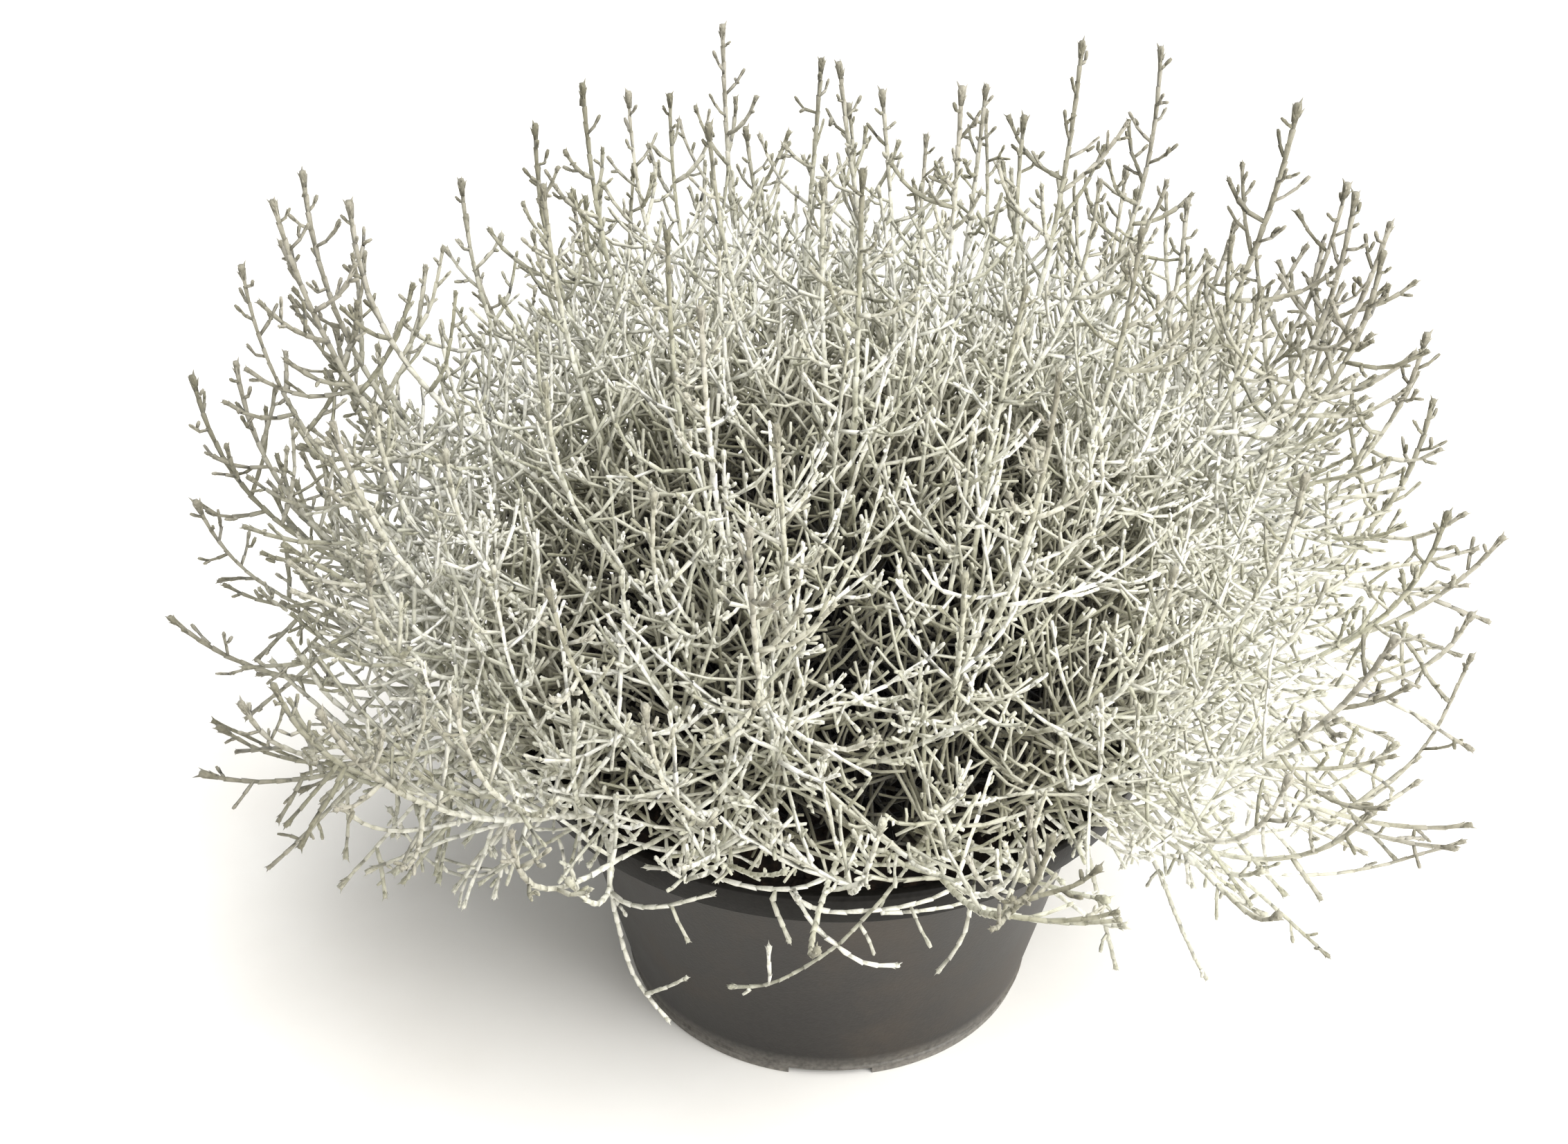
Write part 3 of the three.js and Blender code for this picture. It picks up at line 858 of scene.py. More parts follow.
def grow_packed_twig(parent, distance, length, spreads, seed, steps):
    """Tries a twig at one node of its parent, on one of its faces, until one is clear."""
    draw = dice(seed)
    spread = math.radians(between(spreads, draw()))
    first_face = math.floor(SIDES * draw())
    size = length * (LEAST_SIZE + SIZE_RANGE * draw())
    node = from_tip(parent["points"], distance)
    for attempt in range(ATTEMPTS):
        aside = FACE_SHIFT * (attempt // SIDES) * (1 if attempt % 2 else -1)
        shorter = size * (1 - ATTEMPT_SHRINK * attempt)
        turn = (first_face + attempt + 0.5) * 2 * math.pi / SIDES + aside
        controls = twig_controls(*node, shorter, spread, turn)
        points = bezier(controls, steps)
        free = np.concatenate([[node[0] * (1 - FREE_FROM) + points[1] * FREE_FROM], points[1:]])
        if not meets_pot(finely(points[1:])) and thicket.is_clear(free, CLUB_RADIUS, parent["owner"]):
            owner = len(lines)
            twig = {"points": points, "controls": controls, "length": shorter, "owner": owner,
                    "node": distance, "twigs": []}
            thicket.keep(points, TWIG_RADIUS, owner)
            lines.append(twig)
            parent["twigs"].append(twig)
            return twig
    return None


def clamp(value, low, high):
    """The value, held between two limits."""
    return min(max(value, low), high)


def grow_packed_stems():
    """The 28 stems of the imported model, each from its socket in the growing mix."""
    stems = []
    for i, item in enumerate(packed_tips()):
        spread = CROWN_RADIUS * math.sqrt((i + 0.5) / STEMS)
        root = np.array([spread * math.cos(item["turn"]), spread * math.sin(item["turn"]),
                         SOIL_LEVEL - SOCKET_DEPTH])
        collar = np.array([root[0], root[1], SOIL_LEVEL + COLLAR_RISE])
        choices = [stem_controls(collar, item["tip"], bow, lift) for lift in LIFTS for bow in BOWS]
        grown = [np.concatenate([[root], bezier(controls, STEM_STEPS)]) for controls in choices]
        fitting = [k for k, points in enumerate(grown) if not meets_pot(finely(points[2:]))
                   and thicket.is_clear(points, STEM_RADIUS + STEM_MARGIN, -1)]
        best = fitting[0] if fitting else 0
        owner = len(lines)
        stem = {"points": grown[best], "controls": choices[best], "root": root, "owner": owner, "twigs": []}
        thicket.keep(grown[best], STEM_RADIUS, owner)
        lines.append(stem)
        stems.append(stem)
    return stems


def grow_packed_shoots(stems):
    """Long twigs that leave a stem low down, rise beside it and fill the bush's middle."""
    for stem in stems:
        stem["inner"] = []
    for level in range(INNER_SHOOTS):
        for i, stem in enumerate(stems):
            distance = length_of(stem["points"]) - SOCKET_DEPTH - FIRST_SHOOT - SHOOT_SPACING * level
            seed = SHOOT_SEED + 10 * i + level
            shoot = grow_packed_twig(stem, distance, SHOOT_SHARE * distance, SHOOT_SPREAD, seed, 3)
            if shoot:
                stem["inner"].append(shoot)


def grow_packed_sides(stems):
    """Side twigs, then the twiglets on them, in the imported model's order."""
    distance = FIRST_NODE
    level = 0
    while distance < BUSH_HEIGHT:
        for i, stem in enumerate(stems):
            if distance <= length_of(stem["points"]) - SOCKET_DEPTH - BARE_LENGTH:
                length = clamp(LENGTH_PER_DISTANCE * distance, SHORTEST_TWIG, LONGEST_TWIG)
                steps = 3 if distance > LONG_TWIG else 2
                grow_packed_twig(stem, distance, length, TWIG_SPREAD, TWIG_SEED + 40 * i + level, steps)
        distance += NODE_SPACING + SPACING_GROWTH * level
        level += 1
    for i, stem in enumerate(stems):
        for k, twig in enumerate(stem["twigs"]):
            for level in range(2):
                distance = FIRST_TWIGLET + TWIGLET_SPACING * level
                if distance <= TWIGLET_REACH * twig["length"]:
                    length = clamp(LENGTH_PER_DISTANCE * distance, SHORTEST_TWIGLET, LONGEST_TWIGLET)
                    seed = TWIGLET_SEED + 97 * i + 5 * k + level
                    grow_packed_twig(twig, distance, length, TWIG_SPREAD, seed, 1)


packed_stems = grow_packed_stems()
grow_packed_shoots(packed_stems)
grow_packed_sides(packed_stems)
packed_points = np.concatenate([line["points"] for line in lines])
print("packed stems", len(packed_stems), "packed twigs", len(lines) - len(packed_stems))
print("skeleton from", packed_points.min(0).round(1), "to", packed_points.max(0).round(1))

# %% [markdown]
# ## More shoots
#
# A real bush of this size has far more shoots than the imported one. Each packed stem forks into a few more,
# whose tips fill the spaces left on the dome. A new tip is the one of several tries that lies farthest
# from all the others, which spreads them evenly without a pattern. Some are listed: the tips that
# give the photograph's outline its character, and seven more that fill the bush's front.

# %% Tips of the extra shoots
EXTRA_SHOOTS = 182
TRIES = 14
UPRIGHT_LEAN = 0.13
SHOOT_LOWEST = math.radians(101)
SHOOT_DEPTH = 0.78
SHOOT_DEPTH_RANGE = 0.17
EXTRA_SEED = 77

hand_placed_tips = [
    (105, 53, 331), (-6, 71, 321), (-127, 47, 287), (-207, 1, 237), (188, 2, 231), (160, 27, 295),
    (-208, -12, 198), (200, -32, 169), (-202, -44, 129), (194, -74, 105), (-166, 2, 306), (-152, -5, 299),
    (0, 60, 323), (14, 50, 317), (-99, 30, 312), (-70, 50, 316), (-58, 80, 306), (49, 60, 316),
    (60, 40, 312), (156, 0, 302), (166, 0, 283), (182, 0, 255), (-187, 0, 276), (-193, 0, 243),
    (8, -168, 196), (48, -160, 178), (-44, -164, 182), (-14, -150, 226), (70, -140, 212), (-76, -140, 206),
    (30, -140, 250),
]


def extra_tips():
    """Tips for the extra shoots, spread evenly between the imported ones."""
    draws = np.random.default_rng(EXTRA_SEED)
    tips = [item["tip"] for item in packed_tips()]
    extra = [np.array(tip, float) for tip in hand_placed_tips]
    while len(extra) < EXTRA_SHOOTS:
        best = None
        for _ in range(TRIES):
            share, turn, depth = draws.random(3)
            tip = dome_tip(share, SHOOT_LOWEST, turn * 2 * math.pi,
                           SHOOT_DEPTH + SHOOT_DEPTH_RANGE * depth)
            room = min(np.linalg.norm(tip - other) for other in tips + extra)
            if best is None or room > best[0]:
                best = (room, tip)
        extra.append(best[1])
    return extra


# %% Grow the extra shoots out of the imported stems
CROWDING = 40
NEAREST_STEMS = 4
LOWEST_FORK = 0.05
FORK_RANGE = 0.42
SHOOT_BOW = 24
SHOOT_STEPS = 24
FORK_STEPS = 60
FORK_SEED = 5


def distances_along(points):
    """How far along a line each of its points lies."""
    return np.concatenate([[0], np.cumsum(np.linalg.norm(np.diff(points, axis=0), axis=1))])


def near_bearing(stem, tip):
    """How well a stem's own heading suits a tip: small is good."""
    return np.linalg.norm(stem["points"][-1] - tip) + CROWDING * len(stem["shoots"])


def grow_shoot(stem, tip, draws):
    """A shoot that forks from the lower half of a stem and clears the pot's rim."""
    place = bezier(stem["controls"], FORK_STEPS)
    along = distances_along(place)
    fork = (LOWEST_FORK + FORK_RANGE * draws.random()) * along[-1]
    collar = np.array([np.interp(fork, along, place[:, k]) for k in range(3)])
    bow = SHOOT_BOW * (draws.random() - 0.5)
    for lift in LIFTS:
        controls = stem_controls(collar, tip, bow, lift, tip_lean=UPRIGHT_LEAN, bend=4)
        points = bezier(controls, SHOOT_STEPS)
        if not meets_pot(finely(points[1:])):
            return {"points": points, "controls": controls}
    return None


shoot_draws = np.random.default_rng(FORK_SEED)
for stem in packed_stems:
    stem["shoots"] = []
for tip in extra_tips():
    for stem in sorted(packed_stems, key=lambda item: near_bearing(item, tip))[:NEAREST_STEMS]:
        shoot = grow_shoot(stem, tip, shoot_draws)
        if shoot:
            stem["shoots"].append(shoot)
            break
print("extra shoots", sum(len(stem["shoots"]) for stem in packed_stems))

# %% [markdown]
# ## Fine side twigs
#
# The last two centimetres of a stem carry mere buds. Below them stand open arms, each longer than the one
# above, which leave the stem nearly square and arch up like a candlestick's. Further in, older twigs cross
# at all angles and fill the dome with a close mesh. Each next node turns by the golden angle, as leaves on a
# stem do. A twig that would stick out of the dome is tried shorter, so that only the leading shoots do. In
# the hem round the pot there are fewer and longer twigs, so that the rim shows between them. A twig that
# would cover the pot's front, or droop low beside or behind it, is left out.

# %% Side twigs and twiglets of every shoot
BUD_FIRST = 5
BUD_STEP = 5.6
BUD_ZONE = 20
ARM_STEP = 6.8
ARM_ZONE = 85
MESH_STEP = 4.6
BARE_COLLAR = 14
NODE_ROOM = 3.5
SIDE_CHANCE = 0.93
SIDE_SPREAD = (58, 90)
SIDE_SHARE = 0.6
SIDE_SHORTEST = 4
SIDE_LONGEST = 88
SIDE_LEAST_SIZE = 0.6
SIDE_SIZE_RANGE = 0.7
SIDE_JITTER = 0.6
TWIGLET_FIRST = 5
TWIGLET_STEP = 6.4
TWIGLET_GROWTH = 0.12
TWIGLET_SHARE = 0.42
TWIGLET_ZONE = 0.85
TWIGLET_SHORTEST = 3
TWIGLET_LEAST_SIZE = 0.55
TWIGLET_SIZE_RANGE = 0.8
TWIGLET_CHANCE = 0.84
TWIGLET_SPREAD = (40, 80)
TWIGLET_LONGEST = 24
HANGING_LONGEST = 10
ARM_RISE = 0.95
MESH_RISE = 0.4
TWIGLET_RISE = 0.3
START_PULL = 0.7
PARENT_PULL = 0.3
FINE_SAG = -0.3
FIRST_HALF = 0.52
SHORTER_TRIES = (1, 0.7, 0.45)
TRIAL_STEPS = 6
POINT_SPACING = 8
KINK = 0.3
OVERREACH = 1.03
HEM_THINNING = 0.55
HEM_LENGTHENING = 0.3
IN_HEM = 0.5
FRONT_LINE = -70
FRONT_HALF_WIDTH = 110
FRONT_HEIGHT = 24
BEHIND_FRONT = -60
NEAR_POT = 150
DROOP_HEIGHT = 84
TWIGLET_BEARER = 8
LEAST_SIDE = 14
BUNDLE_SEED = 300


def side_nodes(length):
    """Distances from a stem's tip: close buds, then open arms, then the close older twigs inside."""
    distances = []
    distance = BUD_FIRST
    while distance < length - BARE_COLLAR:
        distances.append(distance)
        distance += BUD_STEP if distance < BUD_ZONE else ARM_STEP if distance < ARM_ZONE else MESH_STEP
    return distances


def twiglet_nodes(length):
    """Distances from a side twig's tip, further and further apart."""
    distances = []
    distance = TWIGLET_FIRST
    while distance < TWIGLET_ZONE * length:
        distances.append(distance)
        distance += TWIGLET_STEP + TWIGLET_GROWTH * distance
    return distances


def arching_controls(place, direction, across, over, length, spread, turn, rise):
    """A fine twig leaves nearly square to its parent and arches up. A low one that starts down hangs."""
    out = across * math.sin(turn) + over * math.cos(turn)
    start = unit(direction * math.cos(spread) + out * math.sin(spread))
    hangs = start[2] < HANG_START and place[2] < HANG_BELOW
    end = unit(start * START_PULL + direction * PARENT_PULL + UP * (FINE_SAG if hangs else rise))
    middle = place + start * length * FIRST_HALF
    return [place, middle, middle + end * length * 0.5]


def hides_front(points):
    """True where a twig would cover the pot's front, which is left to the hanging twigs listed below."""
    in_front = (points[:, 1] < FRONT_LINE) & (np.abs(points[:, 0]) < FRONT_HALF_WIDTH)
    return bool(np.any(in_front & (points[:, 2] < FRONT_HEIGHT - HEM_SLOPE * points[:, 1])))


def fine_twig(node, length, spread, turn, draws, rise, hanging=False):
    """A twig from a node of its parent, a little kinked, or None where the pot is in the way."""
    furthest = max(1, OVERREACH * share_of_reach(node[0][None, :])[0])
    for shorter in SHORTER_TRIES:
        controls = arching_controls(*node, length * shorter, spread, turn, rise)
        way = bezier(controls, TRIAL_STEPS)[1:]
        barred = meets_pot(way, hanging) or (hides_front(way) and not hanging)
        if share_of_reach(way[-1:])[0] < furthest and not barred:
            line = bezier(controls, max(2, round(length * shorter / POINT_SPACING)))
            line[1:-1] += KINK * draws.standard_normal((len(line) - 2, 3))
            return line
    return None


def fine_twigs(points, length, draws, taken=()):
    """Side twigs along a stem. Places already taken are left out."""
    twigs = []
    turn = draws.random() * 2 * math.pi
    for distance in side_nodes(length):
        turn += GOLDEN_ANGLE
        chance, size, lean, aside = draws.random(4)
        node = from_tip(points, distance)
        hem = hem_share(node[0][None, :])[0]
        too_close = any(abs(distance - other) < NODE_ROOM for other in taken)
        if too_close or chance > SIDE_CHANCE * (1 - HEM_THINNING * hem):
            continue
        reach = clamp(SIDE_SHARE * distance, SIDE_SHORTEST, SIDE_LONGEST)
        reach *= SIDE_LEAST_SIZE + SIDE_SIZE_RANGE * size
        reach *= 1 + HEM_LENGTHENING * hem
        spread = math.radians(between(SIDE_SPREAD, lean))
        rise = ARM_RISE if distance < ARM_ZONE or hem > IN_HEM else MESH_RISE
        line = fine_twig(node, reach, spread, turn + SIDE_JITTER * (aside - 0.5), draws, rise)
        if line is not None:
            twigs.append(line)
    return twigs


def fine_twiglets(points, length, draws, hanging=False):
    """Twiglets along a side twig."""
    twiglets = []
    turn = draws.random() * 2 * math.pi
    for distance in twiglet_nodes(length):
        turn += GOLDEN_ANGLE
        chance, size, lean = draws.random(3)
        node = from_tip(points, distance)
        hem = hem_share(node[0][None, :])[0]
        if chance > TWIGLET_CHANCE * (1 - HEM_THINNING * hem):
            continue
        longest = HANGING_LONGEST if hanging else TWIGLET_LONGEST
        reach = clamp(TWIGLET_SHARE * distance, TWIGLET_SHORTEST, longest)
        reach *= TWIGLET_LEAST_SIZE + TWIGLET_SIZE_RANGE * size
        spread = math.radians(between(TWIGLET_SPREAD, lean))
        line = fine_twig(node, reach, spread, turn, draws, TWIGLET_RISE, hanging)
        if line is not None:
            twiglets.append(line)
    return twiglets


def droops(points):
    """True where a twig hangs low beside or behind the pot."""
    near = np.hypot(points[:, 0], points[:, 1]) < NEAR_POT
    return bool(np.any(near & (points[:, 1] > BEHIND_FRONT) & (points[:, 2] < DROOP_HEIGHT)))


def smooth_line(line):
    """A packed twig's curve with enough points for a fine tube."""
    controls = line["controls"]
    length = length_of(line["points"])
    fine = bezier(controls, max(3, round(length / POINT_SPACING)))
    return np.concatenate([[line["root"]], fine]) if "root" in line else fine


def grow_bundle(stem, seed):
    """All the lines of one packed stem, as (points, kind) pairs."""
    draws = np.random.default_rng(seed)
    bundle = []
    inner = [shoot["owner"] for shoot in stem["inner"]]
    for shoot in [stem, *stem["inner"], *stem["shoots"]]:
        points = smooth_line(shoot)
        bundle.append((points, "stem" if shoot is stem else "shoot"))
        packed = [twig for twig in shoot.get("twigs", ()) if twig["owner"] not in inner]
        sides = [smooth_line(twig) for twig in packed]
        for twig in packed:
            bundle += [(smooth_line(twiglet), "twiglet") for twiglet in twig["twigs"]]
        sides += fine_twigs(points, length_of(points), draws, [twig["node"] for twig in packed])
        for side in sides:
            length = length_of(side)
            twiglets = fine_twiglets(side, length, draws) if length > TWIGLET_BEARER else []
            if not droops(side):
                bundle.append((side, "side" if length > LEAST_SIDE else "twiglet"))
                bundle += [(line, "twiglet") for line in twiglets if not droops(line)]
    return bundle


bundles = [grow_bundle(stem, BUNDLE_SEED + i) for i, stem in enumerate(packed_stems)]

# %% [markdown]
# A few thin twigs hang over the pot's front, where the photograph shows each one clearly against the dark
# plastic, and long low arcs sweep out past the rim at both sides. They are given as lists of
# places. Each starts at the nearest shoot, or on an earlier twig of the list where that lies nearer, and its
# corners are cut off twice, which turns the list into an even curve.

# %% Hanging twigs and low arcs
HANGING_TWIGS = [
    [(-70, -88, 134), (-74, -97, 116), (-73, -99, 104), (-71, -100, 90), (-67, -103, 72), (-56, -106, 57)],
    [(-63, -104, 66), (-56, -111, 75), (-49, -116, 84)],
    [(-73, -99, 105), (-69, -104, 105), (-60, -111, 109), (-52, -115, 114), (-40, -118, 121)],
    [(-53, -114, 113), (-51, -116, 109), (-48, -118, 103)],
    [(-52, -104, 136), (-45, -113, 131), (-36, -121, 128), (-17, -126, 129), (-6, -126, 133), (3, -124, 139)],
    [(-22, -125, 128), (-19, -127, 120), (-16, -127, 111)],
    [(-17, -126, 129), (-11, -126, 124), (-4, -127, 121), (21, -125, 122), (34, -122, 126), (46, -118, 135)],
    [(9, -127, 121), (27, -123, 119), (40, -119, 119), (49, -117, 124), (58, -117, 131)],
    [(40, -120, 119), (40, -122, 112), (37, -123, 104), (32, -123, 95)],
    [(30, -108, 142), (16, -124, 129), (7, -128, 120), (-1, -129, 109), (-21, -128, 92), (-33, -126, 90)],
    [(-1, -129, 110), (-8, -130, 118), (-13, -129, 128)],
    [(-1, -129, 109), (8, -131, 104), (17, -131, 104)],
    [(-21, -128, 93), (-22, -129, 100), (-22, -129, 108)],
    [(-32, -104, 134), (-40, -111, 128), (-50, -110, 124), (-60, -104, 120)],
    [(76, -80, 136), (82, -96, 112), (96, -84, 61)],
    [(84, -66, 132), (110, -68, 92), (119, -62, 66), (134, -58, 32)],
    [(102, -50, 130), (124, -52, 92), (147, -50, 66), (172, -50, 36)],
]
LOW_ARCS = [
    [(98, -52, 128), (118, -46, 94), (136, -40, 80), (173, -40, 90), (193, -40, 118), (200, -40, 158)],
    [(80, -80, 128), (104, -74, 102), (136, -70, 90), (167, -70, 89), (198, -70, 104)],
    [(-84, -62, 128), (-104, -54, 94), (-122, -50, 68), (-141, -50, 74), (-151, -50, 99)],
    [(-92, -40, 130), (-116, -34, 104), (-145, -30, 95), (-178, -30, 102), (-208, -30, 122)],
    [(-96, -70, 140), (-84, -92, 132), (-62, -108, 131), (-38, -116, 134), (-16, -116, 142)],
    [(96, -72, 144), (86, -92, 134), (66, -106, 131), (44, -114, 134), (24, -114, 143)],
    [(-30, -90, 140), (-10, -112, 134), (16, -116, 134), (44, -108, 138), (66, -96, 150)],
]
LONG_ENOUGH = 48
LOW_TWIGLET_ZONE = 0.7
LOWEST_ROOT = POT_HEIGHT + 8
LOW_SEED = 61


def cut_corners(points):
    """A rounder line: each corner gives way to two places, a quarter of the way along its two sides."""
    quarters = [points[:-1] * 0.75 + points[1:] * 0.25, points[:-1] * 0.25 + points[1:] * 0.75]
    return np.concatenate([points[:1], np.stack(quarters, 1).reshape(-1, 3), points[-1:]])


def nearest_root(place):
    """The bundle's number, and the point on a shoot or on an earlier low twig, that lie nearest a place."""
    found = []
    for i, bundle in enumerate(bundles):
        roots = np.concatenate([points[2:-2] for points, kind in bundle if kind in ("stem", "shoot")])
        roots = roots[roots[:, 2] > LOWEST_ROOT]
        roots = np.concatenate([roots, *[points for number, points in low_twigs if number == i]])
        gaps = np.linalg.norm(roots - place, axis=1)
        if len(gaps):
            found.append((gaps.min(), i, roots[gaps.argmin()]))
    return min(found, key=lambda item: item[0])[1:]


low_draws = np.random.default_rng(LOW_SEED)
low_twigs = []
low_twiglets = 0
for places in HANGING_TWIGS + LOW_ARCS:
    number, root = nearest_root(np.array(places[0], float))
    line = cut_corners(cut_corners(np.array([root, *places], float)))
    low_twigs.append((number, line))
    bundles[number].append((line, "side"))
    if length_of(line) > LONG_ENOUGH:
        hanging = places in HANGING_TWIGS
        twiglets = fine_twiglets(line, LOW_TWIGLET_ZONE * length_of(line), low_draws, hanging)
        bundles[number] += [(twiglet, "twiglet") for twiglet in twiglets]
        low_twiglets += len(twiglets)
print("hanging twigs", len(HANGING_TWIGS), "low arcs", len(LOW_ARCS), "with twiglets", low_twiglets)

# %% Count the lines
total_length = sum(length_of(points) for bundle in bundles for points, _ in bundle) / 1000
print("lines", sum(len(bundle) for bundle in bundles), "length in metres", round(total_length, 1))

# %% [markdown]
# ## From lines to leafy twigs
#
# Blender can sweep a tube along a curve, but a twig of this bush isn't a tube: every few millimetres a
# scale leaf ends in a small raised lip, on another side each time. So each line becomes rings in pairs, a
# narrow one in the joint and a wide, tilted one at the leaf's free end, and the next joint starts inside
# that lip. Thousands of twigs are made this way at once with arrays. How finely depends on how deep a
# twig lies in the dome: leaves show in the outer shell, and deep inside a plain thin twig is enough.

# %% How finely each twig is made
TWIG_RADII = {"stem": (1.25, 0.82), "shoot": (1.0, 0.78), "side": (0.86, 0.7), "twiglet": (0.7, 0.6)}
OUTER_SHARE = 0.86
MIDDLE_SHARE = 0.68
FINENESS = {
    "outer": {"stem": (5.2, 5), "shoot": (5.2, 4), "side": (5.2, 4), "twiglet": (4.8, 3)},
    "middle": {"stem": (6.5, 4), "shoot": (7.0, 3), "side": (7.4, 3), "twiglet": (7.0, 3)},
    "inner": {"stem": (9.0, 4), "shoot": (9.0, 3), "side": (9.0, 3), "twiglet": (9.0, 3)},
}
SLIMNESS = {"outer": 1.0, "middle": 0.92, "inner": 0.84}


def openness(points):
    """How open to light and view points lie: on the dome, and all round the rim, they lie open."""
    return np.maximum(share_of_reach(points), hem_share(points))


def depth_of(points):
    """Outer, middle or inner, by a line's most open point."""
    share = openness(points).max()
    return "outer" if share > OUTER_SHARE else "middle" if share > MIDDLE_SHARE else "inner"


# %% Sheath a line in scale leaves
LEAF_END = 0.93
LIP_WIDE = 1.12
LIP_BULGE = 0.16
JOINT_NARROW = 0.82
LIP_TILT = 0.16
# Leaf values: low in a joint, high at a lip. The low end is partly real dark joint and partly painted shade
# under the lip.
LIP_LEAF = 0.82
LIP_LEAF_LEAN = 0.13
JOINT_LEAF = 0.5
PLAIN_LEAF = 0.66
TANGENT_STEP = 0.8


def places_on(points, along, stations):
    """The places at given distances along a line."""
    return np.stack([np.interp(stations, along, points[:, k]) for k in range(3)], 1)


def frames_on(points, along, stations):
    """The line's direction at each station, and two directions square to it that don't twist."""
    ahead = places_on(points, along, stations + TANGENT_STEP)
    tangents = ahead - places_on(points, along, stations - TANGENT_STEP)
    tangents /= np.linalg.norm(tangents, axis=1)[:, None]
    middle = points[len(points) // 2]
    plane = np.cross(middle - points[0], points[-1] - middle)
    plane = plane if plane @ plane > 1e-3 * along[-1] else square_to(tangents[0])
    across = plane - tangents * (tangents @ plane)[:, None]
    across /= np.linalg.norm(across, axis=1)[:, None]
    return tangents, across, np.cross(tangents, across)


def sheath(points, kind, depth, turn):
    """Rings of points round a line, and the leaf value of each point."""
    pitch, sides = FINENESS[depth][kind]
    along = distances_along(points)
    total = along[-1]
    leaves = max(2, round(total / pitch))
    joints = np.arange(leaves) * total / leaves
    if depth == "inner":
        stations = np.append(joints, total)
        lip = np.zeros((leaves + 1, 1))
    else:
        stations = np.stack([joints, joints + LEAF_END * total / leaves], 1).ravel()
        lip = (np.arange(2 * leaves) % 2)[:, None]
    tangents, across, over = frames_on(points, along, stations)
    angles = np.arange(sides) * 2 * math.pi / sides
    lean = np.cos(angles[None, :] - (turn + GOLDEN_ANGLE * (np.arange(len(stations)) // 2))[:, None])
    thick, thin = TWIG_RADII[kind]
    size = (thick + (thin - thick) * stations / total)[:, None] * SLIMNESS[depth]
    joint_width, joint_leaf = (1, PLAIN_LEAF) if depth == "inner" else (JOINT_NARROW, JOINT_LEAF)
    ring = size * np.where(lip, LIP_WIDE + LIP_BULGE * lean, joint_width)
    shift = np.where(lip, LIP_TILT * total / leaves * lean, 0)
    spokes = (across[:, None, :] * np.cos(angles)[None, :, None]
              + over[:, None, :] * np.sin(angles)[None, :, None])
    rings = places_on(points, along, stations)[:, None, :] + spokes * ring[..., None]
    rings += tangents[:, None, :] * shift[..., None]
    return rings, np.where(lip, LIP_LEAF + LIP_LEAF_LEAN * lean, joint_leaf)


def ring_faces(rings, sides):
    """Quads between the rings and one flat face at each end, pointing out."""
    index = np.arange(rings * sides).reshape(rings, sides)
    after = np.roll(index, -1, axis=1)
    quads = np.stack([index[:-1], after[:-1], after[1:], index[1:]], -1).reshape(-1, 4)
    return quads, np.stack([index[0][::-1], index[-1]])


# %% [markdown]
# A tip ends in a club: a tight bunch of young scale leaves, some with their points standing off. It is
# modelled once from a five-sided face, with small pointed leaves round it, and a plainer bud is modelled
# for twiglets and for twigs further in. Both are then copied to all tips but the innermost, which nobody
# sees and which stay plain.

# %% Model the club and the bud
CLUB_RINGS = [(0.75, 0), (0.98, 1.8), (1.22, 3.8), (0.9, 5.0)]
BUD_RINGS = [(0.62, 0), (0.84, 2.0), (0.6, 3.6)]
CLUB_LEAVES = 5
LEAF_FOOT = 2.0
LEAF_STEP = 0.8
LEAF_RADIUS = 0.65
LEAF_LENGTH = 2.8
LEAF_CIRCLE = 1.05
LEAF_TILT = math.radians(28)
TIP_SIZE = {"stem": 1.05, "shoot": 1.0, "side": 0.72, "twiglet": 0.78}


def modelled_club(rings, sides, leaves):
    """A club raised ring by ring, with pointed leaves leaning out of its upper half."""
    club = raise_turned("club", rings, sides)
    parts = [club]
    for i in range(leaves):
        turn = i * GOLDEN_ANGLE
        height = LEAF_FOOT + LEAF_STEP * i
        new_start()
        bpy.ops.mesh.primitive_cone_add(
            vertices=3, radius1=LEAF_RADIUS * MM, radius2=0, depth=LEAF_LENGTH * MM,
            location=(LEAF_CIRCLE * MM * math.cos(turn), LEAF_CIRCLE * MM * math.sin(turn), height * MM),
            rotation=(0, LEAF_TILT, turn))
        bpy.ops.object.transform_apply(location=True, rotation=True)
        parts.append(bpy.context.object)
    if leaves:
        pick(*parts)
        bpy.ops.object.join()
    return template_of(club)


club_shape = modelled_club(CLUB_RINGS, 5, CLUB_LEAVES)
bud_shape = modelled_club(BUD_RINGS, 4, 0)
print("club triangles", len(club_shape[1]), "bud triangles", len(bud_shape[1]))


# %% Put each bundle together
TIP_OVERLAP = 2.5
FOOT_LEAF = 0.42
END_LEAF = 0.25
POINT_LEAF = 0.15
POINT_RADIUS = 1.5
STILL_RADIUS = RIM_RADIUS + 15
STILL_HEIGHT = 200
# The next three set where twigs count as old wood in painted deep shade, how soon they turn to the white open
# shell, and how open the hem counts.
HEM_YOUTH_AND_SHADE = 0.77
OLD_WOOD_AND_SHADE = 0.35
YOUTH_AND_SHADE_WIDTH = 0.6
LEAST_TIP = 0.85
TIP_RANGE = 0.3
TIP_MARGIN = 1
SHEATH_SEED = 900


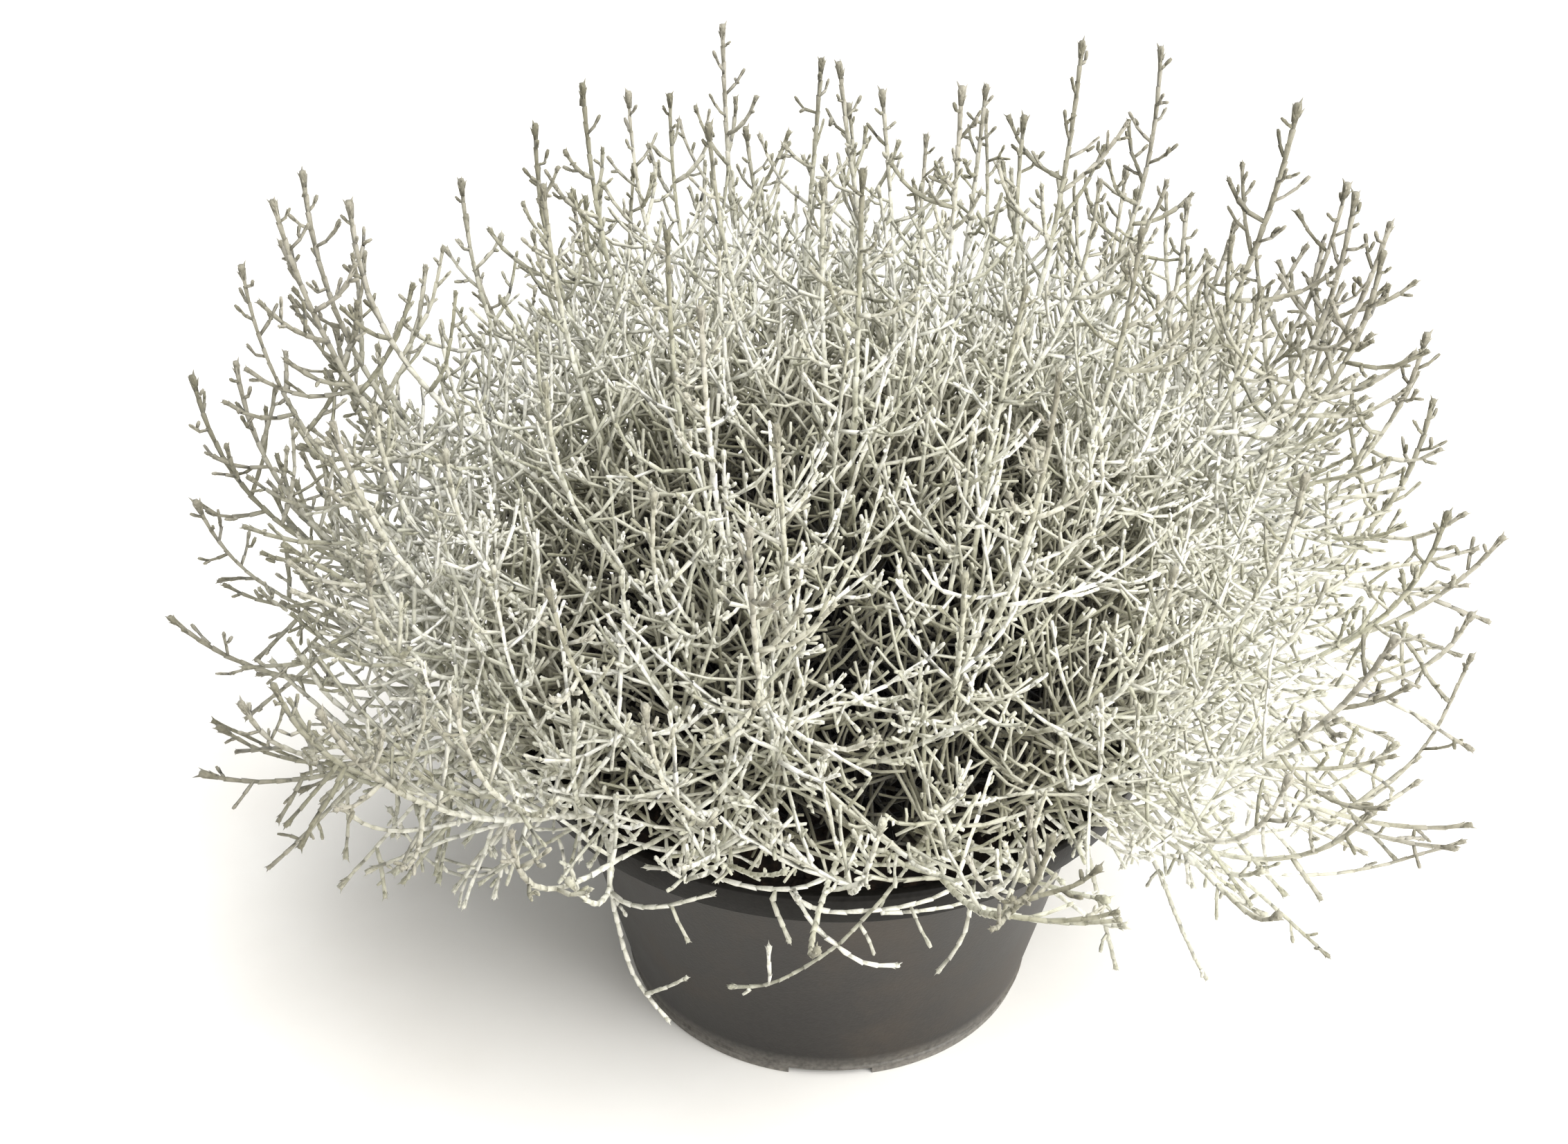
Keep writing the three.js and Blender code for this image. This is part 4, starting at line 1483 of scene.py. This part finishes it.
def placed_tip(shape, points, size, turn):
    """A copy of a club, standing on a line's tip in the line's own direction."""
    corners, faces = shape
    direction = unit(points[-1] - points[-2])
    across = square_to(direction)
    over = np.cross(direction, across)
    outward = across * math.cos(turn) + over * math.sin(turn)
    sideways = np.cross(direction, outward)
    foot = points[-1] - direction * size * TIP_OVERLAP
    turned = corners[:, :1] * outward + corners[:, 1:2] * sideways + corners[:, 2:] * direction
    placed = foot + turned * size
    height = corners[:, 2] / corners[:, 2].max()
    spread = np.hypot(corners[:, 0], corners[:, 1])
    return placed, faces, FOOT_LEAF + END_LEAF * height + POINT_LEAF * (spread > POINT_RADIUS)


def warp_to_reach(points, low, high):
    """Draws the outermost twigs out or in a little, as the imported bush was, to centre it over its pot."""
    warped = points.copy()
    for axis, reach in ((0, REACH_X), (1, REACH_Y)):
        value = points[:, axis]
        end = np.where(value < 0, -low[axis], high[axis])
        excess = np.abs(value) - STILL_RADIUS
        drawn = np.sign(value) * (STILL_RADIUS + excess * (reach - STILL_RADIUS) / (end - STILL_RADIUS))
        warped[:, axis] = np.where(excess > 0, drawn, value)
    z = points[:, 2]
    stretch = (z - STILL_HEIGHT) * (BUSH_HEIGHT - STILL_HEIGHT) / (high[2] - STILL_HEIGHT)
    warped[:, 2] = np.where(z > STILL_HEIGHT, STILL_HEIGHT + stretch, z)
    return warped


def youth_and_shade_of(points):
    """0 on old wood and in the deepest painted shade round the crown, 1 on the outermost tips of the dome.
    The hem lies between.
    """
    share = np.maximum(share_of_reach(points), HEM_YOUTH_AND_SHADE * hem_share(points))
    return np.clip((share - OLD_WOOD_AND_SHADE) / YOUTH_AND_SHADE_WIDTH, 0, 1)


skeleton_low = packed_points.min(0) - TIP_MARGIN
skeleton_high = packed_points.max(0) + TIP_MARGIN
felt = felted_twig()


def build_bundle(name, bundle, seed):
    """One piece from all the lines of a bundle, with its values painted on its points."""
    draws = np.random.default_rng(seed)
    points = []
    quads = []
    triangles = []
    caps = {}
    leaf = []
    tone = []
    count = 0
    for line, kind in bundle:
        depth = depth_of(line)
        turn, twig_tone, tip_size, tip_turn = draws.random(4)
        rings, leaf_values = sheath(line, kind, depth, turn * 2 * math.pi)
        sides = rings.shape[1]
        faces, ends = ring_faces(len(rings), sides)
        quads.append(faces + count)
        caps.setdefault(sides, []).append(ends + count)
        points.append(rings.reshape(-1, 3))
        leaf.append(leaf_values.ravel())
        tone.append(np.full(len(rings) * sides, twig_tone))
        count += len(rings) * sides
        if depth == "inner":
            continue
        shape = club_shape if depth == "outer" and kind != "twiglet" else bud_shape
        size = TIP_SIZE[kind] * (LEAST_TIP + TIP_RANGE * tip_size)
        corners, faces, values = placed_tip(shape, line, size, tip_turn * 2 * math.pi)
        points.append(corners)
        triangles.append(faces + count)
        leaf.append(values)
        tone.append(np.full(len(corners), twig_tone))
        count += len(corners)
    points = np.concatenate(points)
    groups = [np.concatenate(quads), np.concatenate(triangles)]
    groups += [np.concatenate(ends) for ends in caps.values()]
    mesh = mesh_from(name, warp_to_reach(points, skeleton_low, skeleton_high), groups)
    values = {"leaf": np.concatenate(leaf), "tone": np.concatenate(tone), "youth_and_shade": youth_and_shade_of(points)}
    for key, value in values.items():
        mesh.attributes.new(key, "FLOAT", "POINT").data.foreach_set("value", value.astype(np.float32))
    mesh.materials.append(felt)
    return object_from(mesh)


triangle_total = 0
for i, bundle in enumerate(bundles):
    node = f"stem_{i + 1:02d}"
    piece = build_bundle(f"leafy_{node}", bundle, SHEATH_SEED + i)
    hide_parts(node)
    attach(piece, "root")
    triangle_total += sum(len(face.vertices) - 2 for face in piece.data.polygons)
print("leafy stems hold", triangle_total, "triangles")

# %% [markdown]
# ## The stage
#
# The plant stands on a plain pale floor that runs out of the picture. Soft light falls from high on the
# right, so the tops of the twigs are bright, the shade inside is deep, and the pot's soft shadow lies on
# its left. Pale light fills in from all round. One weak lamp low on the right shows the pot's side, and
# another in front lifts the shade between the twigs.

# %% Floor
FLOOR_SIZE = 12
FLOOR_DROP = 0.0002

new_start()
bpy.ops.mesh.primitive_plane_add(size=FLOOR_SIZE, location=(0, 0, -FLOOR_DROP))
floor = bpy.context.object
floor.name = "pale_floor"
floor_material, floor_shader = new_material("painted_floor")
floor_place = add_node(floor_material, "ShaderNodeTexCoord").outputs["Object"]
floor_mottle = add_node(floor_material, "ShaderNodeTexNoise", Vector=floor_place, Scale=9.0, Detail=6.0)
floor_colour = add_ramp(floor_material, floor_mottle.outputs["Fac"], [(0.35, paint("#e9e6e0")),
                                                                     (0.65, paint("#efede8"))])
floor_material.node_tree.links.new(floor_colour.outputs["Color"], floor_shader.inputs["Base Color"])
floor_shader.inputs["Roughness"].default_value = 0.7
floor.data.materials.append(floor_material)


# %% Lights
SUN_PLACE = Vector((1.05, -0.4, 2))
SUN_POWER = 4.3
SUN_ANGLE = math.radians(66)
SKY_POWER = 0.44


def soft_light(name, place, aim, size, power):
    """A square soft light, turned towards a point. It lights the bush but isn't seen itself."""
    new_start()
    bpy.ops.object.light_add(type="AREA", location=place)
    light = bpy.context.object
    light.name = name
    light.data.size = size
    light.data.energy = power
    light.rotation_mode = "QUATERNION"
    light.rotation_quaternion = (Vector(aim) - Vector(place)).to_track_quat("-Z", "Y")
    light.visible_camera = False


new_start()
bpy.ops.object.light_add(type="SUN", location=SUN_PLACE)
daylight = bpy.context.object
daylight.name = "soft_daylight"
daylight.data.energy = SUN_POWER
daylight.data.angle = SUN_ANGLE
daylight.rotation_mode = "QUATERNION"
daylight.rotation_quaternion = (-SUN_PLACE).to_track_quat("-Z", "Y")
soft_light("pot_fill", place=(0.95, -0.75, 0.4), aim=(0, 0, 0.08), size=0.6, power=9)
soft_light("front_fill", place=(0.35, -1.1, 1.3), aim=(0, 0, 0.15), size=1.2, power=15)

scene = bpy.context.scene
world = bpy.data.worlds.new("pale_studio") if scene.world is None else scene.world
scene.world = world
world.use_nodes = True
sky = world.node_tree.nodes["Background"]
sky.inputs["Color"].default_value = paint("#f7f8f8")
sky.inputs["Strength"].default_value = SKY_POWER
scene.view_settings.view_transform = "Standard"
scene.view_settings.look = "None"
